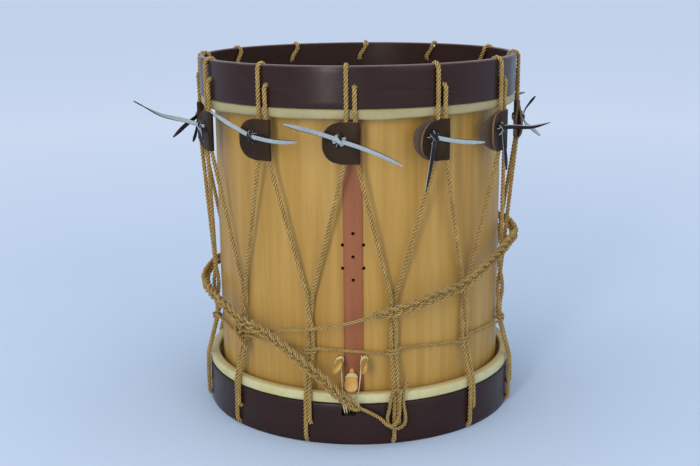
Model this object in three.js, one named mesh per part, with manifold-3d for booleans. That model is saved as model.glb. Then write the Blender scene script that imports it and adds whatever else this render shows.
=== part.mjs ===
// Rope-tensioned snare drum: a bent-wood shell, two skins lapped on flesh hoops, two
// counterhoops laced together by one rope, twelve leather tension ears, a drag rope,
// and three gut snares held by wooden pegs.
// Millimetres. +Z is up, z = 0 is the lower edge of the bottom counterhoop, the drum's
// axis is the Z axis and its front (seam and pegs) faces -Y.
import * as THREE from 'three';
import { mergeVertices, toCreasedNormals } from 'three/addons/utils/BufferGeometryUtils.js';
import ManifoldModule from 'manifold-3d';

const wasm = await ManifoldModule();
wasm.setup();

// Driving dimensions
const AROUND = 60;
const HEAD_AROUND = 48;
const GAP = 0.3;
const POSITIONS = 12;
const PITCH_DEG = 360 / POSITIONS;
const TOP_TURN_DEG = -2.3;
const FOOT_LAG_DEG = 0.5;

const HOOP_OUTER_R = 210;
const HOOP_INNER_R = 203;
const HOOP_MID_R = (HOOP_OUTER_R + HOOP_INNER_R) / 2;
const HOOP_ROUND = 1.2;
const TOP_HOOP_LOW = 420.1;
const TOP_HOOP_HIGH = 470;
const BOTTOM_HOOP_HIGH = 53.6;

const SHELL_OUTER_R = 191.2;
const SHELL_WALL = 5;
const SHELL_LOW = 39.6;
const SHELL_HIGH = 434.1;
const BEARING_CHAMFER = 1.5;
const RING_WALL = 6;
const RING_HEIGHT = 30;
const BATTEN_THICK = 1.5;
const BATTEN_CENTRE_DEG = -2.1;
const BATTEN_HALF_DEG = 3.55;

const SKIN = 1;
const HEAD_RISE = 14.8;
const LAP_OUTER_R = 208.1;
const LAP_INNER_R = 197.1;
const LAP_DEPTH = 11.9;
const LAP_TURN_UP = 5.6;

const ROPE_R = 3.15;
const ROPE_SIDES = 5;
const ROPE_OUT_R = 213.6;
const ROPE_IN_R = 199.4;
const RIM_ARC_R = (ROPE_OUT_R - ROPE_IN_R) / 2;
const STRAND_HALF_GAP = 4.9;
const PAIR_HALF_GAP = 3.55;
const EAR_STRAND_HALF_GAP = 7.5;
const PAIR_R = 199.3;
const TWIST_HIGH = 187;
const TWIST_LOW = 140;
const WAIST_Z = 118;
const FOOT_Z = 64;
const NOTCH_WIDTH = 7.4;
const TOP_NOTCH = 6.3;
const BOTTOM_NOTCH = 11.5;
const TOP_HOLE_Z = 446;
const BOTTOM_HOLE_Z = 27;
const HOLE_R = 4.8;
const BEND_R = 5;

const EAR_TOP = 405.6;
const EAR_BOTTOM = 356;
const EAR_LEATHER = 2.6;
const EAR_BORE_R = 3.45;
const EAR_FOLD_T = 7.6;
const EAR_FLAP_T = -31;
const EAR_CORNER_R = 20;
const LACE_T = -13;
const LACE_Z = 385;
const LACE_STEM_R = 2;
const LACE_WIDTH = 5;
const LACE_THICK = 1.4;

const WAIST_ROPE_R = 2.6;
const DRAG_ROPE_R = 3;
const CHAIN_R = 5.5;

const GATE_DEG = -3.8;
const GATE_WIDTH = 18;
const GATE_DEPTH = 15;
const VENT_R = 2.25;
const VENT_CENTRE_Z = 238;
const VENT_STEP = 14.6;
const VENT_SIDE = 12.8;
const PEG_SHANK_R = 3.2;
const PEG_HEAD_START = 12;
const PEG_HEAD_HALF = 8.6;
const PEG_HEAD_THICK = 5.4;
const GUT_R = 0.8;

// Colours and finishes
const look = (color, roughness) => new THREE.MeshStandardMaterial({ color, roughness, metalness: 0 });
const shellWood = look(0xb4945a, 0.5);
const battenWood = look(0x96603f, 0.5);
const hoopWood = look(0x37262a, 0.35);
const innerWood = look(0xa98a55, 0.6);
const hemp = look(0xa28f5c, 0.9);
const calfskin = look(0xd0c9a0, 0.55);
const earLeather = look(0x3e322a, 0.65);
const paleThong = look(0x9aa3a4, 0.75);
const darkThong = look(0x24211f, 0.6);
const pegWood = look(0xc89c55, 0.5);
const gutCord = look(0xd9caa0, 0.45);

const drum = new THREE.Group();
drum.name = 'snare_drum';
const radians = THREE.MathUtils.degToRad;

// A point at a radius, an angle from the front (towards +X) and a height.
function at(radius, deg, z) {
  return new THREE.Vector3(radius * Math.sin(radians(deg)), -radius * Math.cos(radians(deg)), z);
}

// A path through the given points, with one ring of the swept section at each.
class RingPath extends THREE.Curve {
  constructor(points) {
    super();
    this.points = points;
  }
  getPoint(t, target = new THREE.Vector3()) {
    const last = this.points.length - 1;
    const along = Math.min(t, 1) * last;
    const index = Math.min(Math.floor(along + 1e-9), last - 1);
    return target.lerpVectors(this.points[index], this.points[index + 1], along - index);
  }
  getPointAt(u, target) {
    return this.getPoint(u, target);
  }
  getTangentAt(u, target = new THREE.Vector3()) {
    const last = this.points.length - 1;
    const index = Math.round(u * last);
    const before = this.points[Math.max(index - 1, 0)];
    const here = this.points[index];
    const after = this.points[Math.min(index + 1, last)];
    const arriving = here.clone().sub(before).normalize();
    const leaving = after.clone().sub(here).normalize();
    return target.copy(arriving).add(leaving).normalize();
  }
}

// The closed, outward-facing form of a three.js geometry.
function closed(geometry) {
  const bare = geometry.clone();
  bare.deleteAttribute('normal');
  bare.deleteAttribute('uv');
  const merged = mergeVertices(bare, 1e-4);
  const position = merged.attributes.position;
  const kept = [];
  let volume = 0;
  const [a, b, c] = [0, 1, 2].map(() => new THREE.Vector3());
  for (let i = 0; i < merged.index.count; i += 3) {
    const corner = [0, 1, 2].map((n) => merged.index.getX(i + n));
    if (new Set(corner).size < 3) continue;
    kept.push(corner);
    a.fromBufferAttribute(position, corner[0]);
    b.fromBufferAttribute(position, corner[1]);
    c.fromBufferAttribute(position, corner[2]);
    volume += a.dot(b.cross(c));
  }
  if (volume < 0) kept.forEach((corner) => corner.reverse());
  merged.setIndex(kept.flat());
  return merged;
}

function toManifold(geometry) {
  const ready = closed(geometry);
  return new wasm.Manifold(new wasm.Mesh({
    numProp: 3,
    vertProperties: Float32Array.from(ready.attributes.position.array),
    triVerts: Uint32Array.from(ready.index.array),
  }));
}

function fromManifold(solid) {
  const mesh = solid.getMesh();
  const geometry = new THREE.BufferGeometry();
  geometry.setAttribute('position', new THREE.BufferAttribute(Float32Array.from(mesh.vertProperties), 3));
  geometry.setIndex(Array.from(mesh.triVerts));
  return geometry;
}

const cut = (body, tools) => fromManifold(toManifold(body).subtract(wasm.Manifold.union(tools.map(toManifold))));
const join = (pieces) => fromManifold(wasm.Manifold.union(pieces.map(toManifold)));

function add(name, geometry, material, turnDeg = 0) {
  const mesh = new THREE.Mesh(toCreasedNormals(closed(geometry), radians(35)), material);
  mesh.name = name;
  mesh.rotation.z = radians(turnDeg);
  drum.add(mesh);
}

// A ring turned about the drum's axis from a closed profile of [radius, z] corners.
function turned(profile, around = AROUND) {
  const loop = [...profile, profile[0]].map(([radius, z]) => new THREE.Vector2(radius, z));
  return new THREE.LatheGeometry(loop, around).rotateX(Math.PI / 2);
}

function regular(radius, sides) {
  const corners = [];
  for (let i = 0; i < sides; i += 1) {
    const angle = (2 * Math.PI * (i + 0.5)) / sides;
    corners.push(new THREE.Vector2(radius * Math.cos(angle), radius * Math.sin(angle)));
  }
  return new THREE.Shape(corners);
}

function swept(points, section) {
  return new THREE.ExtrudeGeometry(section, {
    steps: points.length - 1,
    extrudePath: new RingPath(points),
    bevelEnabled: false,
  });
}

const rope = (points, radius = ROPE_R, sides = ROPE_SIDES) => swept(points, regular(radius, sides));

function smooth(points, count) {
  return new THREE.CatmullRomCurve3(points, false, 'centripetal').getSpacedPoints(count);
}

// A straight round bar between two points.
function bar(from, to, radiusFrom, radiusTo = radiusFrom, sides = 12) {
  const run = to.clone().sub(from);
  const geometry = new THREE.CylinderGeometry(radiusTo, radiusFrom, run.length(), sides);
  geometry.applyQuaternion(new THREE.Quaternion().setFromUnitVectors(
    new THREE.Vector3(0, 1, 0),
    run.clone().normalize(),
  ));
  const middle = from.clone().add(to).multiplyScalar(0.5);
  return geometry.translate(middle.x, middle.y, middle.z);
}

// A block through the hoop wall at an angle, between two heights.
function hoopBlock(deg, width, low, high) {
  const depth = 2 * (HOOP_OUTER_R - HOOP_INNER_R);
  const block = new THREE.BoxGeometry(width, depth, high - low);
  block.translate(0, -HOOP_MID_R, (low + high) / 2);
  return block.rotateZ(radians(deg));
}

function throughHoop(deg, z) {
  return bar(at(HOOP_INNER_R - 5, deg, z), at(HOOP_OUTER_R + 5, deg, z), HOLE_R);
}

const degOf = (millimetres, radius) => THREE.MathUtils.radToDeg(millimetres / radius);
const strandDeg = degOf(STRAND_HALF_GAP, ROPE_OUT_R);
const pairDeg = degOf(PAIR_HALF_GAP, ROPE_OUT_R);
const topDeg = (k) => TOP_TURN_DEG + k * PITCH_DEG;
const footDeg = (k) => topDeg(k) + PITCH_DEG / 2 - FOOT_LAG_DEG;
const everyPosition = Array.from({ length: POSITIONS }, (_, k) => k);

// Shell, with vents round the seam, a batten over the seam and two inner rings.
const shellInnerR = SHELL_OUTER_R - SHELL_WALL;
const shell = turned([
  [shellInnerR, SHELL_LOW],
  [SHELL_OUTER_R - BEARING_CHAMFER, SHELL_LOW],
  [SHELL_OUTER_R, SHELL_LOW + 2 * BEARING_CHAMFER],
  [SHELL_OUTER_R, SHELL_HIGH - 2 * BEARING_CHAMFER],
  [SHELL_OUTER_R - BEARING_CHAMFER, SHELL_HIGH],
  [shellInnerR, SHELL_HIGH],
]);
const battenInnerR = SHELL_OUTER_R + GAP;
const battenOuterR = battenInnerR + BATTEN_THICK;
const battenShape = new THREE.Shape();
const battenFrom = radians(BATTEN_CENTRE_DEG - BATTEN_HALF_DEG - 90);
const battenTo = radians(BATTEN_CENTRE_DEG + BATTEN_HALF_DEG - 90);
battenShape.absarc(0, 0, battenOuterR, battenFrom, battenTo, false);
battenShape.absarc(0, 0, battenInnerR, battenTo, battenFrom, true);
const batten = new THREE.ExtrudeGeometry(battenShape, {
  depth: SHELL_HIGH - SHELL_LOW - 6 * BEARING_CHAMFER,
  bevelEnabled: false,
  curveSegments: 4,
}).translate(0, 0, SHELL_LOW + 3 * BEARING_CHAMFER);

const vents = [[0, 0], [0, 2], [0, -2], [-1, 1], [1, 1], [-1, -1], [1, -1]].map(([side, step]) => {
  const deg = BATTEN_CENTRE_DEG + degOf(side * VENT_SIDE, SHELL_OUTER_R);
  const z = VENT_CENTRE_Z + step * VENT_STEP;
  return bar(at(shellInnerR - 5, deg, z), at(battenOuterR + 5, deg, z), VENT_R, VENT_R, 10);
});

// Snare pegs: the shank's hole in the shell, the droop of its axis and its head's turn.
const pegs = [
  { deg: -7.3, z: 108, droop: 15, length: 30, turn: 50, gate: -1 },
  { deg: -2.9, z: 92, droop: 35, length: 33, turn: 0, gate: 0 },
  { deg: 1.6, z: 108, droop: 15, length: 30, turn: 72, gate: 1 },
];
function pegPoint(peg, along) {
  const out = along * Math.cos(radians(peg.droop));
  const down = along * Math.sin(radians(peg.droop));
  return at(SHELL_OUTER_R + out, peg.deg, peg.z - down);
}
const pegHoles = pegs.map((peg) => (
  bar(pegPoint(peg, -12), pegPoint(peg, 8), PEG_SHANK_R + GAP, PEG_SHANK_R + GAP, 12)
));
add('shell', cut(shell, [...vents, ...pegHoles]), shellWood);
add('seam_batten', cut(batten, [...vents, ...pegHoles]), battenWood);

function innerRing(low) {
  const outer = shellInnerR - GAP;
  return turned([
    [outer - RING_WALL, low],
    [outer, low],
    [outer, low + RING_HEIGHT],
    [outer - RING_WALL, low + RING_HEIGHT],
  ]);
}
add('top_reinforcing_ring', innerRing(SHELL_HIGH - RING_HEIGHT - 1), innerWood);
add('bottom_reinforcing_ring', innerRing(SHELL_LOW + 1), innerWood);

// Heads: a flat skin over the bearing edge, sloping to the flesh hoop and lapped round it.
// "side" is +1 for the batter head above its hoop seat, -1 for the snare head below.
function head(seatZ, side) {
  const seat = seatZ - side * (GAP + SKIN / 2);
  const flat = seat + side * (HEAD_RISE + GAP + SKIN / 2);
  const half = SKIN / 2;
  const lapLow = seat - side * LAP_DEPTH;
  const outside = [
    [0, flat + side * half],
    [190.9, flat + side * half],
    [192.9, flat - side * 0.6],
    [199, seat + side * half],
    [LAP_OUTER_R - half, seat + side * half],
    [LAP_OUTER_R + half, seat - side * half],
    [LAP_OUTER_R + half, lapLow + side * half],
    [LAP_OUTER_R - half, lapLow - side * half],
    [LAP_INNER_R - half, lapLow - side * half],
    [LAP_INNER_R - half, lapLow + side * LAP_TURN_UP],
  ];
  const inside = [
    [LAP_INNER_R + half, lapLow + side * LAP_TURN_UP],
    [LAP_INNER_R + half, lapLow + side * half],
    [LAP_OUTER_R - half, lapLow + side * half],
    [LAP_OUTER_R - half, seat - side * half],
    [198.2, seat - side * half],
    [192, flat - side * 1.3],
    [190.6, flat - side * half],
    [0, flat - side * half],
  ];
  return turned([...outside, ...inside], HEAD_AROUND);
}
function fleshHoop(seatZ, side) {
  const reach = SKIN / 2 + GAP + 0.1;
  const seat = seatZ - side * (GAP + SKIN / 2);
  const near = seat - side * reach;
  const far = seat - side * (LAP_DEPTH - reach);
  return turned([
    [LAP_INNER_R + reach, near],
    [LAP_OUTER_R - reach, near],
    [LAP_OUTER_R - reach, far],
    [LAP_INNER_R + reach, far],
  ], HEAD_AROUND);
}
add('batter_head', head(TOP_HOOP_LOW, 1), calfskin);
add('batter_flesh_hoop', fleshHoop(TOP_HOOP_LOW, 1), innerWood);
add('snare_head', head(BOTTOM_HOOP_HIGH, -1), calfskin);
add('snare_flesh_hoop', fleshHoop(BOTTOM_HOOP_HIGH, -1), innerWood);

// Counterhoops, notched and drilled for the rope; the lower one is gated for the snares.
function hoop(low, high) {
  return turned([
    [HOOP_INNER_R, low],
    [HOOP_OUTER_R - HOOP_ROUND, low],
    [HOOP_OUTER_R, low + HOOP_ROUND],
    [HOOP_OUTER_R, high - HOOP_ROUND],
    [HOOP_OUTER_R - HOOP_ROUND, high],
    [HOOP_INNER_R, high],
  ]);
}
const topCuts = everyPosition.flatMap((k) => [
  hoopBlock(topDeg(k) - strandDeg, NOTCH_WIDTH, TOP_HOOP_HIGH - TOP_NOTCH, TOP_HOOP_HIGH + 5),
  throughHoop(topDeg(k) + strandDeg, TOP_HOLE_Z),
]);
const bottomCuts = everyPosition.flatMap((k) => [
  hoopBlock(footDeg(k) - pairDeg, NOTCH_WIDTH, -5, BOTTOM_NOTCH),
  throughHoop(footDeg(k) + pairDeg, BOTTOM_HOLE_Z),
]);
const gates = [GATE_DEG, GATE_DEG + 180].map((deg) => (
  hoopBlock(deg, GATE_WIDTH, BOTTOM_HOOP_HIGH - GATE_DEPTH, BOTTOM_HOOP_HIGH + 5)
));
add('top_counterhoop', cut(hoop(TOP_HOOP_LOW, TOP_HOOP_HIGH), topCuts), hoopWood);
add('bottom_counterhoop', cut(hoop(0, BOTTOM_HOOP_HIGH), [...bottomCuts, ...gates]), hoopWood);

// Tension rope. Each length runs from inside a hole of the bottom hoop, under that hoop,
// up to an ear, over the top rim, in and out through the top hole, and down again.
function arc(centreR, centreZ, radius, fromDeg, toDeg, steps, degAt) {
  const points = [];
  for (let i = 0; i <= steps; i += 1) {
    const share = i / steps;
    const angle = radians(fromDeg + (toDeg - fromDeg) * share);
    const r = centreR + radius * Math.cos(angle);
    points.push(at(r, degAt(share), centreZ + radius * Math.sin(angle)));
  }
  return points;
}

// The half turn that the two strands make round each other, from "start" (in half turns).
function crossing(deg, start, rising) {
  const points = [];
  for (let i = 0; i <= 4; i += 1) {
    const share = i / 4;
    const angle = Math.PI * (start + (rising ? share : -share));
    const z = rising ? TWIST_LOW + (TWIST_HIGH - TWIST_LOW) * share
      : TWIST_HIGH - (TWIST_HIGH - TWIST_LOW) * share;
    const aside = degOf(PAIR_HALF_GAP * Math.cos(angle), PAIR_R);
    points.push(at(PAIR_R + PAIR_HALF_GAP * Math.sin(angle), deg + aside, z));
  }
  return points;
}

function tensionRope(k) {
  const leftFoot = footDeg(k - 1);
  const rightFoot = footDeg(k);
  const ear = topDeg(k);
  const earDeg = degOf(EAR_STRAND_HALF_GAP, ROPE_OUT_R);
  const rimZ = TOP_HOOP_HIGH - TOP_NOTCH + 0.2;
  const underZ = BOTTOM_NOTCH - 0.9;
  const waistAside = degOf(PAIR_HALF_GAP, PAIR_R);
  const fromHole = leftFoot + pairDeg;
  const toNotch = leftFoot - pairDeg;
  const holeInner = HOOP_INNER_R + 1.4;
  const holeOuter = HOOP_OUTER_R - 0.5;
  return [
    at(HOOP_MID_R - GAP, fromHole, BOTTOM_HOLE_Z),
    ...arc(holeInner, BOTTOM_HOLE_Z - BEND_R, BEND_R, 90, 180, 2, () => fromHole),
    ...arc(HOOP_MID_R, underZ, RIM_ARC_R, 180, 360, 4, () => toNotch),
    at(ROPE_OUT_R, toNotch, FOOT_Z),
    at(PAIR_R, leftFoot - waistAside, WAIST_Z),
    ...crossing(leftFoot, -1, true),
    at(ROPE_OUT_R, ear - earDeg, EAR_BOTTOM - 1),
    at(ROPE_OUT_R, ear - strandDeg, TOP_HOOP_LOW),
    ...arc(HOOP_MID_R, rimZ, RIM_ARC_R, 0, 180, 4, () => ear - strandDeg),
    ...arc(holeInner, TOP_HOLE_Z + BEND_R, BEND_R, 180, 270, 2, () => ear + strandDeg),
    ...arc(holeOuter, TOP_HOLE_Z - BEND_R, BEND_R, 90, 0, 2, () => ear + strandDeg),
    at(ROPE_OUT_R, ear + strandDeg, TOP_HOOP_LOW),
    at(ROPE_OUT_R, ear + earDeg, EAR_BOTTOM - 1),
    ...crossing(rightFoot, 1, false),
    at(PAIR_R, rightFoot + waistAside, WAIST_Z),
    at(ROPE_OUT_R, rightFoot + pairDeg, FOOT_Z),
    ...arc(holeOuter, BOTTOM_HOLE_Z + BEND_R, BEND_R, 0, -90, 2, () => rightFoot + pairDeg),
    at(HOOP_MID_R + GAP, rightFoot + pairDeg, BOTTOM_HOLE_Z),
  ];
}

// Leather ear: a strip folded round both strands (fold towards +X), its flaps rounded.
const earOuter = EAR_BORE_R + EAR_LEATHER;
const upright = (shape) => new THREE.ExtrudeGeometry(shape, {
  depth: EAR_TOP - EAR_BOTTOM,
  bevelEnabled: false,
  curveSegments: 5,
}).translate(0, -ROPE_OUT_R, EAR_BOTTOM);
function strip(halfThick, from, to) {
  const shape = new THREE.Shape();
  shape.moveTo(from, -halfThick);
  shape.lineTo(to, -halfThick);
  shape.absarc(to, 0, halfThick, -Math.PI / 2, Math.PI / 2, false);
  shape.lineTo(from, halfThick);
  return shape;
}
function cornerCut(cornerZ, inward) {
  const shape = new THREE.Shape();
  shape.moveTo(EAR_FLAP_T - 1, cornerZ - inward);
  shape.lineTo(EAR_FLAP_T - 1, cornerZ + inward * EAR_CORNER_R);
  shape.lineTo(EAR_FLAP_T, cornerZ + inward * EAR_CORNER_R);
  for (let i = 1; i <= 4; i += 1) {
    const angle = (Math.PI / 2) * (i / 4);
    shape.lineTo(
      EAR_FLAP_T + EAR_CORNER_R * (1 - Math.cos(angle)),
      cornerZ + inward * EAR_CORNER_R * (1 - Math.sin(angle)),
    );
  }
  shape.lineTo(EAR_FLAP_T + EAR_CORNER_R, cornerZ - inward);
  return new THREE.ExtrudeGeometry(shape, { depth: 40, bevelEnabled: false })
    .rotateX(Math.PI / 2)
    .translate(0, -ROPE_OUT_R + 20, 0);
}
const laceAt = (n) => new THREE.Vector3(LACE_T, -ROPE_OUT_R - n, LACE_Z);
const ear = cut(upright(strip(earOuter, EAR_FLAP_T, EAR_FOLD_T)), [
  upright(strip(EAR_BORE_R, EAR_FLAP_T - 5, EAR_FOLD_T)).scale(1, 1, 1.1).translate(0, 0, -38),
  cornerCut(EAR_TOP, -1),
  cornerCut(EAR_BOTTOM, 1),
  bar(laceAt(-20), laceAt(20), LACE_STEM_R + GAP, LACE_STEM_R + GAP, 8),
]);

// Laces: a thong knotted through both flaps, with two loose tails. Each tail has a length,
// a bearing in the ear's face (0 = towards the fold, 90 = up), a lean outward and a droop.
const laces = [
  { thong: paleThong, tails: [[80, -20, 12, 0], [74, 156, 25, -4]] },
  { thong: paleThong, tails: [[62, -8, 14, 0], [66, -108, 10, 0]] },
  { thong: darkThong, tails: [[58, 20, 66, 0], [52, -98, 10, 0]] },
  { thong: paleThong, tails: [[38, -70, 40, 0], [34, 60, 30, 0]] },
  { thong: darkThong, tails: [[60, -30, 18, 0], [48, 150, 20, 0]] },
  { thong: paleThong, tails: [[66, -60, 14, 0], [54, 165, 18, 0]] },
  { thong: darkThong, tails: [[55, -15, 24, 0], [60, -110, 12, 0]] },
  { thong: paleThong, tails: [[64, -40, 16, 0], [50, 140, 20, 0]] },
  { thong: darkThong, tails: [[58, -75, 12, 0], [56, 170, 22, 0]] },
  { thong: paleThong, tails: [[60, -25, 24, 0], [48, -120, 14, 0]] },
  { thong: paleThong, tails: [[84, 150, 62, 14], [46, -16, 14, 0]] },
  { thong: darkThong, tails: [[76, 0, 7, 0], [58, 150, 14, 0]] },
];
const knotN = earOuter + GAP + 2.6;
function tail([length, bearing, lean, rise]) {
  const points = [];
  for (let i = 0; i <= 4; i += 1) {
    const along = 1 + ((length - 1) * i) / 4;
    const out = along * Math.sin(radians(lean));
    const flat = along * Math.cos(radians(lean));
    const lift = rise * (i / 4) ** 2;
    const aside = LACE_T + flat * Math.cos(radians(bearing));
    const up = LACE_Z + flat * Math.sin(radians(bearing)) + lift;
    points.push(new THREE.Vector3(aside, -(ROPE_OUT_R + knotN + out), up));
  }
  const section = regular(LACE_WIDTH * Math.SQRT1_2, 4);
  const start = points[0];
  const flatTail = swept(points, section);
  return squashed(flatTail, start, bearing, lean);
}
// Thins a swept tail across the ear's face, keeping its centre line.
function squashed(geometry, start, bearing, lean) {
  const along = new THREE.Vector3(
    Math.cos(radians(bearing)) * Math.cos(radians(lean)),
    -Math.sin(radians(lean)),
    Math.sin(radians(bearing)) * Math.cos(radians(lean)),
  ).normalize();
  const face = new THREE.Vector3(0, -1, 0).addScaledVector(along, -along.dot(new THREE.Vector3(0, -1, 0)));
  face.normalize();
  const position = geometry.attributes.position;
  const point = new THREE.Vector3();
  for (let i = 0; i < position.count; i += 1) {
    point.fromBufferAttribute(position, i);
    const off = point.clone().sub(start).dot(face);
    point.addScaledVector(face, off * (LACE_THICK / LACE_WIDTH - 1));
    position.setXYZ(i, point.x, point.y, point.z);
  }
  return geometry;
}
function lace(tails) {
  const knot = new THREE.SphereGeometry(1, 8, 4).scale(5.6, 2.6, 6.2);
  const centre = laceAt(knotN);
  knot.translate(centre.x, centre.y, centre.z);
  return join([
    knot,
    bar(laceAt(-earOuter - 1.5), laceAt(knotN), LACE_STEM_R, LACE_STEM_R, 8),
    bar(laceAt(-earOuter - GAP - 2), laceAt(-earOuter - GAP), 4.2, 4.2, 8),
    ...tails.map(tail),
  ]);
}

const two = (k) => String(k + 1).padStart(2, '0');
for (const k of everyPosition) {
  add(`tension_rope_${two(k)}`, rope(tensionRope(k)), hemp);
  add(`tension_ear_${two(k)}`, ear, earLeather, topDeg(k));
  add(`ear_lace_${two(k)}`, lace(laces[k].tails), laces[k].thong, topDeg(k));
}

// Snare pegs: a round shank through the shell and a flat, round-ended head outside.
function pegBody(peg) {
  const shank = bar(
    new THREE.Vector3(0, 0, -16),
    new THREE.Vector3(0, 0, PEG_HEAD_START + 3),
    PEG_SHANK_R - 0.5,
    PEG_SHANK_R,
    12,
  );
  const tongue = new THREE.Shape();
  const tip = peg.length - PEG_HEAD_HALF;
  tongue.moveTo(-4, PEG_HEAD_START);
  tongue.lineTo(4, PEG_HEAD_START);
  tongue.lineTo(7.4, PEG_HEAD_START + 4);
  tongue.lineTo(PEG_HEAD_HALF, tip);
  for (let i = 1; i < 8; i += 1) {
    const angle = (Math.PI * i) / 8;
    tongue.lineTo(PEG_HEAD_HALF * Math.cos(angle), tip + PEG_HEAD_HALF * Math.sin(angle));
  }
  tongue.lineTo(-PEG_HEAD_HALF, tip);
  tongue.lineTo(-7.4, PEG_HEAD_START + 4);
  const head = new THREE.ExtrudeGeometry(tongue, {
    depth: PEG_HEAD_THICK,
    bevelEnabled: false,
  }).translate(0, 0, -PEG_HEAD_THICK / 2).rotateX(Math.PI / 2);
  const body = join([shank, head]).rotateZ(radians(peg.turn));
  const axis = pegPoint(peg, 1).sub(pegPoint(peg, 0)).normalize();
  const side = new THREE.Vector3(Math.cos(radians(peg.deg)), Math.sin(radians(peg.deg)), 0);
  const place = new THREE.Matrix4().makeBasis(side, axis.clone().cross(side), axis);
  return body.applyMatrix4(place.setPosition(pegPoint(peg, 0)));
}
pegs.forEach((peg, i) => add(`snare_peg_${i + 1}`, pegBody(peg), pegWood));

// Gut snares: from a peg, outside the flesh hoop, in at the gate, across under the snare
// head, out at the rear gate and up to a stop behind the rear flesh hoop.
const snareZ = BOTTOM_HOOP_HIGH - HEAD_RISE - 2 * SKIN - GUT_R;
const lead = [
  [[-7, 194.6, 102], [-6.6, 197, 90], [-5.8, 210.4, 68], [-5.1, 210.6, 56]],
  [[-2.9, 194.3, 84], [-3, 194.4, 75], [-3.7, 207.6, 68.3], [-3.8, 210, 66.2], [-3.8, 210.2, 56]],
  [[1.3, 194.6, 102], [1, 200, 84], [-0.8, 210.6, 64], [-2.4, 210.6, 56]],
];
lead.forEach((start, i) => {
  const x = (pegs[i].gate * 5);
  const across = GATE_DEG;
  const turn = (px, py, z) => new THREE.Vector3(px, py, z)
    .applyAxisAngle(new THREE.Vector3(0, 0, 1), radians(across));
  const inGate = BOTTOM_HOOP_HIGH - GATE_DEPTH + 5;
  const points = [
    ...start.map(([deg, r, z]) => at(r, deg, z)),
    turn(x, -206, inGate + 3),
    turn(x, -196, snareZ + 1),
    turn(x, -186, snareZ),
    turn(x, 186, snareZ),
    turn(x, 196, snareZ + 1),
    turn(x, 206, inGate + 3),
    turn(x, 210.6, 56),
    turn(x, 210.6, 74),
  ];
  add(`snare_gut_${i + 1}`, rope(points, GUT_R, 5), gutCord);
});

// Waist rope, drawn straight from one pair of strands to the next.
const waistR = PAIR_R + ROPE_R + WAIST_ROPE_R + 0.4;
const waistPoints = everyPosition.flatMap((k) => [-1, 1].map((side) => (
  at(waistR, footDeg(k + 5) + side * 1.6, WAIST_Z)
)));
const waistEnd = at(waistR, footDeg(5) - 1.6 - 0.15, WAIST_Z);
add('waist_rope', rope([...waistPoints, waistEnd], WAIST_ROPE_R), hemp);

// Drag rope: a chain of loops slung round the drum, and its two plain ends.
const chainRoute = [
  [-0.2, 223, 55], [-4, 226, 65.5], [-7.6, 225, 76], [-11.3, 222, 89], [-16.6, 219, 102.5],
  [-27.6, 218, 130], [-34, 218, 142], [-44, 216, 148.5], [-55.5, 213.5, 159], [-67, 212.5, 164.5],
  [-80, 212.5, 166.5], [-95, 212.5, 167], [-112, 212.5, 171], [-150, 213, 186], [-180, 213, 201],
  [-215, 213, 216], [-250, 213, 231], [-266, 212.5, 229], [-280, 212.5, 229], [-293, 212.5, 230],
  [-299.5, 212.5, 224], [-311.5, 213, 210.5], [-324, 215, 195], [-335, 217, 188], [-345, 217, 178],
  [-358.7, 217, 167],
];
const chainPoints = smooth(chainRoute.map(([deg, r, z]) => at(r, deg, z)), 62);
add('drag_rope_chain', rope(chainPoints, CHAIN_R, 7), hemp);

const plainRope = (name, route, count) => {
  const points = smooth(route.map(([deg, r, z]) => at(r, deg, z)), count);
  add(name, rope(points, DRAG_ROPE_R), hemp);
};
const foot = footDeg(0);
const hitch = footDeg(-2);
plainRope('drag_rope_lead', [
  [0.1, 222.7, 54.2], [2.3, 219, 48.5], [foot - 5.2, 217.5, 38], [foot - 3.5, 217.6, 30],
], 8);
plainRope('drag_rope_knot', [
  [foot - 3.3, 217.9, 29.1], [foot - 2, 220, 25], [foot, 220.6, 23.4], [foot + 2, 219.6, 25.5],
  [foot + 2.95, 215, 33], [foot + 2.95, 214, 58], [foot + 2.1, 217.4, 69], [foot, 219.2, 72.5],
  [foot - 2.1, 217.4, 69], [foot - 2.95, 214, 58], [foot - 2.95, 214, 42],
], 30);
plainRope('drag_rope_tail', [
  [1, 216.6, 165.8], [-6.5, 214, 157], [-11.3, 212.5, 153.5], [-18.4, 210.8, 149], [-31, 206.6, 140],
  [-38, 206.4, 134], [hitch + 3.85, 206.3, 129.5],
], 14);
plainRope('drag_rope_hitch', [
  [hitch + 3.35, 206.3, 129.5], [hitch, 206.4, 133], [hitch - 2.6, 204.6, 131.5],
  [hitch - 2.8, 206, 127], [hitch, 209.6, 125], [hitch + 2.4, 212, 119], [hitch + 3.8, 211.5, 112],
  [hitch + 4.4, 209, 104],
], 16);

export default drum;
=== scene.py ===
import math

import bmesh
import bpy
import numpy as np
from mathutils import Matrix, Vector


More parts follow.
